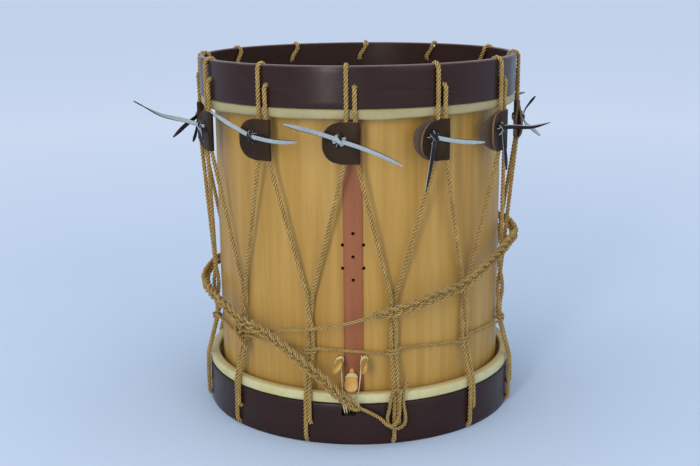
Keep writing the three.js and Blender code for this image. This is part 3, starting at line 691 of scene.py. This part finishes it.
def drag_rope():
    """Loops hung at a foot, a plain lead, the chain round the drum, and a plain tail hitched to a strand."""
    foot, hitch = foot_deg(0), foot_deg(-2)
    chain = chain_line(CHAIN)
    knot = [
        (foot + 3.7, 217.6, 87), (foot + 2.9, 218, 78), (foot + 2.3, 216.2, 68), (foot + 2.3, 215.9, 52),
        (foot + 2.9, 216.2, 38), (foot + 2.5, 218, 28.5), (foot + 0.6, 220.2, 24.5), (foot - 1.6, 220.2, 25),
        (foot - 3.0, 218.3, 30), (foot - 3.2, 216.4, 38), (foot - 2.5, 215.9, 50), (foot - 2.1, 216.2, 62),
        (foot - 1.3, 218, 72), (foot - 0.2, 219.2, 75.5), (foot + 0.7, 218.9, 69), (foot + 0.7, 218.6, 54),
        (foot + 0.5, 219.2, 40), (foot - 0.6, 221.8, 31.5), (foot - 2.2, 223, 28.6), (foot - 3.7, 222.4, 31),
    ]
    lead = [(foot - 5.4, 219.4, 37.5), (2.6, 220, 48)]
    tail = [
        (-6.5, 213.6, 157.2), (-11.3, 212.3, 153.5), (-18.4, 210.8, 149), (-31, 206.6, 140),
        (-38, 206.2, 134.5), (hitch + 3.4, 206.3, 129.8), (hitch, 207.2, 131.5), (hitch - 2.8, 204.6, 131),
        (hitch - 3.2, 200, 129), (hitch - 2.6, 206, 124.5), (hitch, 209.6, 124.5), (hitch + 1.6, 210.8, 130),
        (hitch + 0.6, 210.6, 137), (hitch - 1.6, 209.4, 136), (hitch - 1.2, 211, 129),
        (hitch + 1.4, 213, 122), (hitch + 3.4, 212.4, 115), (hitch + 4.6, 209, 105),
    ]
    start = curve_through([at(r, d, z) for d, r, z in knot + lead] + [chain[0]], 14)
    end = curve_through([chain[-1]] + [at(r, d, z) for d, r, z in tail], 14)
    line = np.vstack([start[:-1], chain, end[1:]])
    piece, path = rope("drag_rope", line, DRAG_D / 2, step=1.8, sides=12, spread=1.4, lay=DRAG_LAY, ends=4)
    placed(piece, "root", "hemp_rope", "drag_rope_chain", "drag_rope_lead", "drag_rope_knot",
           "drag_rope_tail", "drag_rope_hitch")


drag_rope()

# ---------------------------------------------------------------- ear laces
# Tails: length, bearing in the ear's face (0 = towards the fold, 90 = up), lean outward,
# rise at the tip, sideways bow, turns of twist, and whether the grain side faces out.
LACES = [
    [(80, -20, 12, 0, 1.5, 0.04, 0), (74, 156, 25, -4, 1, 0.12, 0)],
    [(62, -8, 14, 0, -2, 0.05, 0), (66, -108, 10, 0, 2, -0.1, 1)],
    [(58, 20, 66, 0, -5, 0.2, 1), (52, -98, 10, 0, 4, 0.1, 1)],
    [(38, -70, 40, 0, 3, 0.2, 0), (34, 60, 30, 0, -2, 0.2, 0)],
    [(60, -30, 18, 0, 5, 0.2, 1), (48, 150, 20, 0, -4, 0.2, 1)],
    [(66, -60, 14, 0, 4, 0.2, 0), (54, 165, 18, 0, 5, -0.2, 0)],
    [(55, -15, 24, 0, -4, 0.2, 1), (60, -110, 12, 0, 4, 0.2, 1)],
    [(64, -40, 16, 0, 5, 0.2, 0), (50, 140, 20, 0, -5, 0.3, 0)],
    [(58, -75, 12, 0, 3, 0.2, 1), (56, 170, 22, 0, 6, 0.2, 1)],
    [(60, -25, 24, 0, 5, 0.2, 0), (48, -120, 14, 0, 3, 0.2, 0)],
    [(84, 150, 62, 14, 6, 0.4, 0), (46, -16, 14, 0, -4, 0.08, 0)],
    [(76, 0, 7, 0, -3, 0.06, 0), (58, 150, 14, 0, 2, 0.2, 0)],
]
NARROW_LACE = 3
DARK_KNOT = 11


def local(deg, t, n, z):
    """A point given across (t), out from the strands (n) and up (z) at an ear."""
    a = math.radians(deg)
    x, y = t, -(ROPE_OUT + n)
    return np.array([x * math.cos(a) - y * math.sin(a), x * math.sin(a) + y * math.cos(a), z])


def ribbon(name, line, width, thick, twist, first_normal, grain_out, taper):
    """A leather thong: flat, two-sided, narrowing to a cut tip."""
    w, h, e = width / 2, thick / 2, thick * 0.28
    face_side = [(h, -w + e), (h, -w / 3), (h, w / 3), (h, w - e)]
    half = [*face_side, (h - e, w), (-h + e, w)]
    section = half + [(-x, -y) for x, y in half]
    share = np.linspace(0, 1, len(line))
    size = 1 - (1 - taper) * np.clip((share - 0.72) / 0.28, 0, 1) ** 1.6
    face, back = (DARK, PALE) if grain_out else (PALE, DARK)
    obj = sweep(name, line, section, face, twist * 2 * math.pi * share ** 1.3, size, first_normal)
    obj.data.materials.append(back)
    count = len(section)
    for index, polygon in enumerate(obj.data.polygons):
        if index < len(line) * count - count and index % count >= len(face_side):
            polygon.material_index = 1
    return obj


def thong_slot(grain):
    return "dark_thong" if grain else "pale_thong"


def lace_tails(k):
    """The two loose ends of an ear's lace, each a free cord."""
    deg = top_deg(k)
    for number, (length, bearing, lean, rise, bow, twist, grain) in enumerate(LACES[k], 1):
        b, lean_a = math.radians(bearing), math.radians(lean)
        line = []
        for share in np.linspace(0, 1, 7):
            reach = 2 + (length - 2) * share
            flat = reach * math.cos(lean_a * min(1, 0.4 + share))
            away = reach * math.sin(lean_a * share ** 0.6)
            swing = bow * math.sin(math.pi * share)
            t = LACE_T + flat * math.cos(b) - swing * math.sin(b)
            z = LACE_Z + flat * math.sin(b) + swing * math.cos(b) + rise * share ** 2
            line.append(local(deg, t, KNOT_N + away, z))
        line = relaxed(curve_through(line, 10), 1.6, 3)
        width = NARROW_THONG if k == NARROW_LACE else THONG_WIDTH
        name = f"ear_lace_{k + 1:02d}_tail_{number}"
        piece = ribbon(name, line, width, 1.5, twist, outward(deg), grain, 0.35)
        placed(piece, f"ear_{k + 1:02d}", thong_slot(grain))


for k in range(POSITIONS):
    lace_tails(k)


# ---------------------------------------------------------------- wooden parts
def wave(deg, seed, terms=((3, 1.0), (7, 0.6), (13, 0.4), (29, 0.25))):
    """An uneven ripple round the drum, of (waves, size) terms."""
    a = math.radians(deg)
    return sum(size * math.sin(times * a + seed * (i + 1.7)) for i, (times, size) in enumerate(terms))


def peg_point(peg, along):
    deg, z, droop = peg[:3]
    d = math.radians(droop)
    return at(SHELL_R + along * math.cos(d), deg, z - along * math.sin(d))


def through_shell():
    """Cutters for the vents, in and beside the strip, and for the pegs' holes."""
    bars = []
    for side, up in ((0, 0), (0, 2), (0, -2), (-1, 1), (1, 1), (-1, -1), (1, -1)):
        deg = BATTEN_DEG + deg_of(side * VENT_ACROSS, SHELL_R)
        z = VENT_Z + up * VENT_UP
        bars.append(bar(at(180, deg, z), at(200, deg, z), VENT_R))
    return bars + [bar(peg_point(peg, -12), peg_point(peg, 8), PEG_R + 0.3) for peg in PEGS]


def build_shell():
    inner, eased = SHELL_R - SHELL_WALL, 3
    outer_edge = [(SHELL_R - 1.5, 0), (SHELL_R - 0.4, 1.2), (SHELL_R, eased)]
    profile = [(inner, SHELL_LOW)] + [(r, SHELL_LOW + z) for r, z in outer_edge]
    profile += [(SHELL_R, z) for z in np.linspace(SHELL_LOW + eased, SHELL_HIGH - eased, 14)[1:-1]]
    profile += [(r, SHELL_HIGH - z) for r, z in outer_edge[::-1]] + [(inner, SHELL_HIGH)]
    shell = lathe("shell_wood_wall", profile, 240, SHELL_WOOD)
    cut(shell, through_shell(), 25)
    placed(shell, "root", "shell_wood", "shell")


def build_batten():
    """A thin strip over the shell's seam, its long edges eased."""
    inner, edge, half = SHELL_R + 0.05, 0.35, BATTEN_HALF
    eased = half - deg_of(edge, BATTEN_R)
    outline = [(inner, -half), (inner, half), (BATTEN_R - edge, half), (BATTEN_R, eased)]
    outline += [(BATTEN_R, d) for d in np.linspace(half, -half, 12)[1:-1]]
    outline += [(BATTEN_R, -eased), (BATTEN_R - edge, -half)]
    rows = np.linspace(SHELL_LOW + 9, SHELL_HIGH - 9, 30)
    verts = [at(r, BATTEN_DEG + d, z) * MM for z in rows for r, d in outline]
    batten = recalc(make("seam_strip", verts, tube(len(rows), len(outline)), BATTEN_WOOD))
    cut(batten, through_shell(), 25)
    placed(batten, "root", "batten_wood", "seam_batten")


def hoop_profile(low, high):
    """A hoop's section, rounded at its outer edges and eased at its inner ones."""
    r, edge = HOOP_OUTER, 1.6
    profile = [(HOOP_INNER + 0.8, low), (r - edge, low), (r - 0.5, low + 0.5), (r, low + edge)]
    profile += [(r, z) for z in np.linspace(low + edge, high - edge, 8)[1:-1]]
    profile += [(r, high - edge), (r - 0.5, high - 0.5), (r - edge, high), (HOOP_INNER + 0.8, high),
                (HOOP_INNER, high - 0.8), (HOOP_INNER, low + 0.8)]
    return profile


def build_hoop(name, node, low, high, positions, notch, hole, gates=()):
    """A hoop with a notch and a hole at every rope position, and with gates for the snares."""
    past = 6
    hoop = lathe(name, hoop_profile(low, high), 240, HOOP)
    tools = []
    floor, hole_z = notch[1], hole[1]
    end = high + past if floor > (low + high) / 2 else low - past
    for deg in positions:
        tools.append(hoop_block(deg + notch[0], NOTCH_WIDTH, floor, end, NOTCH_WIDTH / 2))
        tools.append(bar(at(196, deg + hole[0], hole_z), at(216, deg + hole[0], hole_z), HOLE_R))
    for deg in gates:
        tools.append(hoop_block(deg, GATE_WIDTH, high - GATE_DEPTH, high + past))
    cut(hoop, tools)
    placed(hoop, "root", "hoop_wood", node)


def build_hoops():
    strand, pair = deg_of(STRAND_GAP, ROPE_OUT), deg_of(FOOT_GAP, ROPE_OUT)
    build_hoop("top_hoop", "top_counterhoop", TOP_LOW, TOP_HIGH, [top_deg(k) for k in range(POSITIONS)],
               (-strand, TOP_HIGH - TOP_NOTCH), (strand, TOP_HOLE_Z))
    build_hoop("bottom_hoop", "bottom_counterhoop", 0, BOTTOM_HIGH, [foot_deg(k) for k in range(POSITIONS)],
               (-pair, BOTTOM_NOTCH), (pair, BOTTOM_HOLE_Z), (GATE_DEG, GATE_DEG + 180))


# ---------------------------------------------------------------- heads
def build_head(name, node, seat_z, side):
    """The skin, flat over the bearing edge and lapped round its flesh hoop with small waves."""
    seat = seat_z - side * 0.8
    flat = seat + side * 15.6
    low = seat - side * (10.9 if side > 0 else 11.9)
    flat_part = [(0, 0), (60, 0), (120, 0), (165, 0), (187, 0), (190.6, 0.2), (192, 1.2), (194.2, 5),
                 (196.8, 10.5)]
    over_hoop = [(198.8, -1.2), (200.6, 0), (204, 0), (206.6, 0.1), (207.8, 0.9), (208.1, 2.2), (208.2, 4.5),
                 (208.2, 7), (208.1, 9.4)]
    tucked = [(207.8, 0.8), (206.8, 0), (203, 0), (199, 0), (197.5, 0.6), (197.1, 2), (197.1, 5.6)]
    points = [(r, flat - side * z) for r, z in flat_part] + [(r, seat - side * z) for r, z in over_hoop]
    points = np.array(points + [(r, low + side * z) for r, z in tucked])
    run = np.gradient(points, axis=0)
    run /= np.maximum(np.linalg.norm(run, axis=1), 1e-9)[:, None]
    half_skin = np.stack([-run[:, 1], run[:, 0]], 1) * side * 0.5
    outer, inner = points + half_skin, points - half_skin
    outer[0][0] = inner[0][0] = 0
    profile = [tuple(p) for p in outer] + [tuple(p) for p in inner[::-1]]
    count = len(points)

    def shape(deg, i, r, z):
        """Waves in the collar, from the 12th to the 19th point of the section."""
        j = i if i < count else 2 * count - 1 - i
        if j < 12 or j > 19:
            return r, z
        band = math.sin(math.pi * (j - 11) / 9)
        swell = 0.4 * wave(deg, 1.3 + side) * band
        slack = 0.5 * wave(deg, 4.1 + side, ((2, 1.0), (5, 0.8), (11, 0.6), (23, 0.45)))
        sag = -side * slack * (j - 11) / 8
        return r + min(swell, 0.6), z + (sag if side > 0 else 0.6 * sag)

    head = lathe(name, profile, 288, SKIN, shape, 50)
    placed(head, "root", "calfskin", node)


# ---------------------------------------------------------------- tension rope
def arc(centre_r, centre_z, radius, start, end, deg, steps=10):
    turns = [math.radians(start + (end - start) * i / steps) for i in range(steps + 1)]
    return [at(centre_r + radius * math.cos(a), deg, centre_z + radius * math.sin(a)) for a in turns]


def crossing(deg, start, rising):
    """Half a turn of one strand round the other."""
    points = []
    for i in range(13):
        share = i / 12
        angle = math.pi * (start + (share if rising else -share))
        span = TWIST_HIGH - TWIST_LOW
        z = TWIST_LOW + span * share if rising else TWIST_HIGH - span * share
        turn = deg_of(PAIR_GAP * math.cos(angle), PAIR_R)
        points.append(at(PAIR_R + PAIR_GAP * math.sin(angle), deg + turn, z))
    return points


def tension_rope(k):
    """One position's rope: up a left leg, through the ear, over and through the hoop, and down again."""
    left, right, ear = foot_deg(k - 1), foot_deg(k), top_deg(k)
    strand, pair = deg_of(STRAND_GAP, ROPE_OUT), deg_of(FOOT_GAP, ROPE_OUT)
    ear_side, waist = deg_of(EAR_GAP, ROPE_OUT), deg_of(PAIR_GAP, PAIR_R)
    rim, under = TOP_HIGH - TOP_NOTCH + 0.2, BOTTOM_NOTCH - 0.9
    hole_in, hole_out = HOOP_INNER + 1.4, HOOP_OUTER - 0.5
    inside_ear = 380.0
    share = (inside_ear - EAR_BOTTOM) / (TOP_LOW - EAR_BOTTOM)
    ear_mid = ear_side + (strand - ear_side) * share
    left_leg = [
        at(HOOP_MID - 0.3, left + pair, BOTTOM_HOLE_Z),
        *arc(hole_in, BOTTOM_HOLE_Z - BEND_R, BEND_R, 90, 180, left + pair),
        *arc(HOOP_MID, under, RIM_ARC, 180, 360, left - pair),
        at(ROPE_OUT, left - 0.85 * pair, FOOT_Z),
        at(PAIR_R, left - waist, WAIST_Z),
        *crossing(left, -1, True),
        at(ROPE_OUT, ear - ear_side, EAR_BOTTOM),
        at(ROPE_OUT, ear - ear_mid, inside_ear),
    ]
    over = [
        at(ROPE_OUT, ear - ear_mid, inside_ear),
        at(ROPE_OUT, ear - strand, TOP_LOW),
        *arc(HOOP_MID, rim, RIM_ARC, 0, 180, ear - strand),
        *arc(hole_in, TOP_HOLE_Z + BEND_R, BEND_R, 180, 270, ear + strand),
        *arc(hole_out, TOP_HOLE_Z - BEND_R, BEND_R, 90, 0, ear + strand),
        at(ROPE_OUT, ear + strand, TOP_LOW),
        at(ROPE_OUT, ear + ear_mid, inside_ear),
    ]
    right_leg = [
        at(ROPE_OUT, ear + ear_mid, inside_ear),
        at(ROPE_OUT, ear + ear_side, EAR_BOTTOM),
        *crossing(right, 1, False),
        at(PAIR_R, right + waist, WAIST_Z),
        at(ROPE_OUT, right + 0.85 * pair, FOOT_Z),
        *arc(hole_out, BOTTOM_HOLE_Z + BEND_R, BEND_R, 0, -90, right + pair),
        at(HOOP_MID + 0.3, right + pair, BOTTOM_HOLE_Z),
    ]
    body, tag = f"ear_{k + 1:02d}", f"{k + 1:02d}"
    for name, points, first, second, high, low in (
        ("left_leg", left_leg, body, "root", 0.398, 0.165),
        ("rim", over, "root", body, 0.424, 0.386),
        ("right_leg", right_leg, body, "root", 0.398, 0.165),
    ):
        piece, _ = rope(f"tension_rope_{tag}_{name}", points, ROPE_R, sides=15, phase=0.7 * k)
        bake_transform(piece)
        if name == "rim":
            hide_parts(f"tension_rope_{tag}")


def build_waist():
    """The waist rope takes a turn round each pair of strands and goes on to the next."""
    reach_t, reach_r = PAIR_GAP + ROPE_R + WAIST_R - 0.9, ROPE_R + WAIST_R - 0.7
    line = []
    for k in range(5, 5 + POSITIONS):
        deg = foot_deg(k)
        for i in range(25):
            a = math.radians(170 - 520 * i / 24)
            t, n = reach_t * math.cos(a), reach_r * math.sin(a)
            n = n + 0.9 * math.copysign(1, n) * min(abs(n) / reach_r, 1) * (0.5 if i < 12 else 1.0)
            r = max(PAIR_R + n, SHELL_R + WAIST_R - 0.6)
            line.append(at(r, deg + deg_of(t, PAIR_R), WAIST_Z - 3 + 6.2 * i / 24))
    piece, _ = rope("waist_line", line, WAIST_R, step=1.6, sides=12, spread=2.0)
    placed(piece, "root", "hemp_rope", "waist_rope")


# ---------------------------------------------------------------- ears and lace knots
def ear_edge(z):
    """How far the flaps reach from the fold at a height: straight, with rounded corners."""
    middle, half = (EAR_TOP + EAR_BOTTOM) / 2, (EAR_TOP - EAR_BOTTOM) / 2
    past = max(abs(z - middle) - (half - EAR_CORNER), 0)
    return EAR_FLAP_T + EAR_CORNER - math.sqrt(max(EAR_CORNER ** 2 - past ** 2, 0))


# How far the front and the rear flap stand open (mm), and how much of the front one is trimmed.
FLAPS = {0: (1.0, 1.5, 0), 1: (4.0, 6.0, 9), 2: (2.0, 11.0, 3), 3: (4.0, 5.0, 3), 10: (2.0, 4.0, 2),
         11: (1.2, 1.0, 0)}


def build_ear(k):
    """A folded sheet of leather round the two strands, pinched by its lace and open beyond it."""
    deg, tag, body = top_deg(k), f"{k + 1:02d}", f"ear_{k + 1:02d}"
    front_flare, back_flare, trim = FLAPS.get(k, (2.0 + 1.7 * (k % 3), 2.0 + k % 4, 2 * (k % 3)))
    rows, flap, fold = 26, 20, 14
    bore = EAR_BORE + 0.1

    def depth(t, z, high, flare):
        grip = 1 / (1 + math.exp((t + 10.5) / 1.3))
        from_lace = math.hypot((t - LACE_T) / 11, (z - LACE_Z) / 15)
        pull = math.exp(-from_lace ** 2)
        open_up = max(-(t + 14) / 17, 0) ** 1.7
        return bore - grip * (1.7 + 0.4 * pull) + flare * open_up * (0.65 + 0.35 * math.sin(1.3 * high + k))

    verts = []
    for i in range(rows):
        z = EAR_BOTTOM + (EAR_TOP - EAR_BOTTOM) * i / (rows - 1)
        edge = ear_edge(z)
        high = (z - (EAR_TOP + EAR_BOTTOM) / 2) / 25
        for j in range(flap):
            t = edge + (EAR_FOLD_T - edge) * (j / (flap - 1)) ** 0.85
            verts.append(local(deg, t, -depth(t, z, high, back_flare), z) * MM)
        for j in range(1, fold):
            a = math.radians(-90 + 180 * j / fold)
            crush = 0.35 * math.sin(3.1 * high + k) * math.cos(a)
            verts.append(local(deg, EAR_FOLD_T + (bore + crush) * math.cos(a), bore * math.sin(a), z) * MM)
        front_edge = edge + trim * (0.45 + 0.3 * high + 0.25 * high ** 2)
        for j in range(flap):
            t = EAR_FOLD_T + (front_edge - EAR_FOLD_T) * (1 - (1 - j / (flap - 1)) ** 0.85)
            verts.append(local(deg, t, depth(t, z, high, front_flare), z) * MM)
    m = 2 * flap + fold - 1
    faces = [(i * m + j, i * m + j + 1, (i + 1) * m + j + 1, (i + 1) * m + j)
             for i in range(rows - 1) for j in range(m - 1)]
    ear = make(f"leather_ear_{tag}", verts, faces, EAR_BACK)
    ear.data.materials.append(EAR_EDGE)
    ear.data.materials.append(EAR)
    solid = ear.modifiers.new("thickness", "SOLIDIFY")
    solid.thickness = EAR_LEATHER * MM
    solid.offset = 1.0
    solid.use_even_offset = True
    solid.material_offset_rim = 1
    solid.material_offset = 2
    bevel = ear.modifiers.new("edge", "BEVEL")
    bevel.width = 0.0005
    bevel.segments = 2
    bevel.limit_method = "ANGLE"
    bevel.angle_limit = math.radians(50)
    applied(ear, 55)
    placed(ear, body, "ear_leather", f"tension_ear_{tag}")


def build_knot(k):
    """The thong through both flaps: a band across, a turn over it, and a stop behind."""
    deg, tag, body = top_deg(k), f"{k + 1:02d}", f"ear_{k + 1:02d}"
    grain = 1 if k == DARK_KNOT else LACES[k][1][6]
    out = outward(deg)
    face = EAR_BORE + EAR_LEATHER - 1.7
    # Each band's points: across, out from the flap, and up, all from the middle of the knot.
    bands = [
        [(-7.5, -1.4, -2), (-6, 0.8, -1.5), (-2, 1.7, 0), (2.5, 1.7, 1.0), (5.6, 0.6, 1.4), (7.0, -1.2, 1.6)],
        [(-1.5, -0.6, -8.5), (-1.2, 1.4, -7), (0, 3.2, -3), (0.6, 3.8, 1), (0.8, 2.6, 5.2), (0.6, 0.6, 7.6)],
        [(3.4, 1.0, -6.2), (2.2, 3.6, -3.4), (-1.0, 4.5, -0.4), (-3.6, 3.2, 3.2), (-4.4, 0.8, 5.4)],
        [(-7, 1.4, -3), (-3, 2.6, -1), (1, 2.8, 1), (6, 1.4, 3)],
    ]
    sides = ("knot_1", 1, grain), ("knot_2", 1, 1), ("knot_3", 1, grain), ("stop", -1, grain)
    for band, (name, side, grain_out) in zip(bands, sides):
        line = [local(deg, LACE_T + t, side * (face + n), LACE_Z + z) for t, n, z in band]
        line = curve_through(line, 8)
        piece = ribbon(f"ear_lace_{tag}_{name}", line, BAND_WIDTH, 1.6, 0, side * out, grain_out, 1.0)
        nodes = [f"ear_lace_{tag}"] if name == "knot_1" else []
        placed(piece, body, thong_slot(grain), *nodes)


# ---------------------------------------------------------------- pegs and snares
def build_peg(number, peg):
    """A flat-headed peg in its hole, with the end of its gut wound on."""
    deg, _, droop, length, turn = peg
    body = f"peg_{number}"
    tip = length - PEG_HALF
    neck = 4.5 + 0.15 * (droop - 15)
    rows = [(-16, 2.6, 2.6), (-15, 2.8, 2.8), (0, 3.0, 3.0), (neck - 2, 3.6, 3.0), (neck, 5.4, 3.0),
            (neck + 3.5, 6.2, 3.0), (PEG_START, 7.2, 2.9), (tip - 4, 8.3, 2.8), (tip + 1, 8.5, 2.7),
            (tip + 4.6, 7.6, 2.5), (tip + 7.2, 5.2, 2.1), (tip + 8.4, 2.4, 1.3)]
    origin = Vector(peg_point(peg, 0))
    axis = Vector(peg_point(peg, 1) - peg_point(peg, 0)).normalized()
    side = Vector((math.cos(math.radians(deg)), math.sin(math.radians(deg)), 0))
    basis = Matrix((side, axis.cross(side), axis)).transposed()
    spin = Matrix.Rotation(math.radians(turn), 3, "Z")
    verts = []
    for along, wide, thick in rows:
        power = 0.72 if wide > thick + 0.5 else 1.0
        for c, s in circle(1, 20):
            x = wide * math.copysign(abs(c) ** power, c)
            y = thick * math.copysign(abs(s) ** power, s)
            verts.append((basis @ (spin @ Vector((x, y, along))) + origin) * MM)
    piece = make(body, verts, tube(len(rows), 20), PEG_WOOD)
    piece.modifiers.new("smooth", "SUBSURF").levels = 2
    applied(piece, 60)
    placed(piece, body, "peg_wood", f"snare_peg_{number}")
    wrap = []
    for i in range(56):
        a, past = 2 * math.pi * i / 20, 0.3 + 1.6 * i / 20
        wide = 5.2 + 0.33 * past + 0.85
        wrap.append(basis @ (spin @ Vector((wide * math.cos(a), 3.9 * math.sin(a), neck + past))) + origin)
    coil = sweep(f"gut_wrap_{number}", relaxed(np.array(wrap), 0.8, 0.5), circle(GUT_R, 10), GUT)
    placed(coil, body, "gut")


def build_guts():
    """Each gut: down from its peg, in at the front gate, across under the head, out and up at the back."""
    snare_z = BOTTOM_HIGH - 14.8 - 2 - GUT_R
    leads = [
        [(-7, 194.6, 102), (-6.6, 197, 90), (-5.8, 210.4, 68), (-5.1, 210.6, 56)],
        [(-2.9, 194.3, 84), (-3, 194.4, 75), (-3.7, 207.6, 68.3), (-3.8, 210, 66.2), (-3.8, 210.2, 56)],
        [(0.7, 194.6, 113), (0.5, 197, 98), (-0.1, 204.5, 78), (-0.8, 210.6, 64), (-2.4, 210.6, 56)],
    ]
    c, s = math.cos(math.radians(GATE_DEG)), math.sin(math.radians(GATE_DEG))
    gate = BOTTOM_HIGH - GATE_DEPTH + 8
    across = [(-206, gate), (-196, snare_z + 1), (-186, snare_z), (186, snare_z), (196, snare_z + 1),
              (206, gate), (210.6, 56), (210.6, 74)]
    for number, lead in enumerate(leads, 1):
        x = GUT_GAP * (number - 2)
        points = [at(r, d, z) for d, r, z in lead]
        points += [np.array([x * c - y * s, x * s + y * c, z]) for y, z in across]
        line = relaxed(points, 1.6, 1.6)
        piece = sweep(f"gut_{number}", line, rope_section(GUT_R, 9, 0.86), GUT, np.arange(len(line)) * 0.5)
        placed(piece, "root", "gut", f"snare_gut_{number}")
    for number, deg in enumerate((-5.4, -4.6), 1):
        tip = [at(210.6, deg, 58), at(212.2, deg - 0.15, 53.5), at(213.2, deg + 0.1, 48.5),
               at(213, deg + 0.35, 43.5)]
        line = relaxed(curve_through(tip, 8), 0.9, 1.0)
        piece = sweep(f"gut_tip_{number}", line, circle(0.85, 9), GUT, None, np.linspace(1, 0.55, len(line)))
        placed(piece, "root", "gut")


build_shell()
build_batten()
build_hoops()
build_head("batter_skin", "batter_head", TOP_LOW, 1)
build_head("snare_skin", "snare_head", BOTTOM_HIGH, -1)
for k in range(POSITIONS):
    tension_rope(k)
    build_ear(k)
    build_knot(k)
build_waist()
for number, peg in enumerate(PEGS, 1):
    build_peg(number, peg)
build_guts()

for node in ("top_reinforcing_ring", "bottom_reinforcing_ring", "batter_flesh_hoop", "snare_flesh_hoop"):
    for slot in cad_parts[node].material_slots:
        slot.material = INNER_WOOD


# ---------------------------------------------------------------- stage and light (metres)
def build_stage():
    """A wide round sheet of pale blue paper, lighter far away where only the sky lights it."""
    n = Nodes("paper", 0.9, specular=0.1)
    place = n.split(n.coords())
    away = n.math("SQRT", n.math("ADD", n.math("POWER", place[0], 2.0), n.math("POWER", place[1], 2.0)))
    far = n.grey(n.math("MULTIPLY", away, 0.25), 0.06, 0.7)
    tone = n.noise(n.coords(), 2.0, 2, 0.5)
    near_tone = n.ramp(tone, [(0.3, srgb(197, 210, 225)), (0.7, srgb(200, 213, 228))])
    paper = n.finish(n.mix(far, near_tone, srgb(247, 247, 249)))
    radii, sides = [0.5, 1.0, 2.0, 4.0, 10.0, 30.0, 80.0], 48
    verts = [(0, 0, 0)] + [(x, y, 0) for radius in radii for x, y in circle(radius, sides)]
    faces = [(0, 1 + j, 1 + (j + 1) % sides) for j in range(sides)]
    for low in range(1, 1 + (len(radii) - 1) * sides, sides):
        high = low + sides
        faces += [(low + j, high + j, high + (j + 1) % sides, low + (j + 1) % sides) for j in range(sides)]
    make("floor", verts, faces, paper)


def area_light(name, place, aim, size, energy, color):
    data = bpy.data.lights.new(name, "AREA")
    data.shape = "RECTANGLE"
    data.size, data.size_y = size
    data.energy = energy
    data.color = color
    light = bpy.data.objects.new(name, data)
    scene.collection.objects.link(light)
    light.location = place
    light.rotation_euler = (Vector(aim) - Vector(place)).to_track_quat("-Z", "Y").to_euler()


def build_lights():
    world = bpy.data.worlds.new("studio")
    world.use_nodes = True
    background = world.node_tree.nodes["Background"]
    background.inputs["Color"].default_value = (0.66, 0.79, 1.0, 1)
    background.inputs["Strength"].default_value = 0.87
    scene.world = world
    area_light("key", (-0.86, -2.36, 0.95), (0, 0, 0.35), (0.36, 1.5), 23, (1.0, 0.95, 0.88))
    area_light("fill", (1.5, -2.2, 1.3), (0, 0, 0.25), (1.6, 1.6), 8, (1.0, 0.95, 0.88))
    area_light("top", (-0.2, -0.2, 2.8), (0, 0, 0.2), (2.4, 2.4), 15, (1.0, 0.94, 0.84))


build_stage()
build_lights()
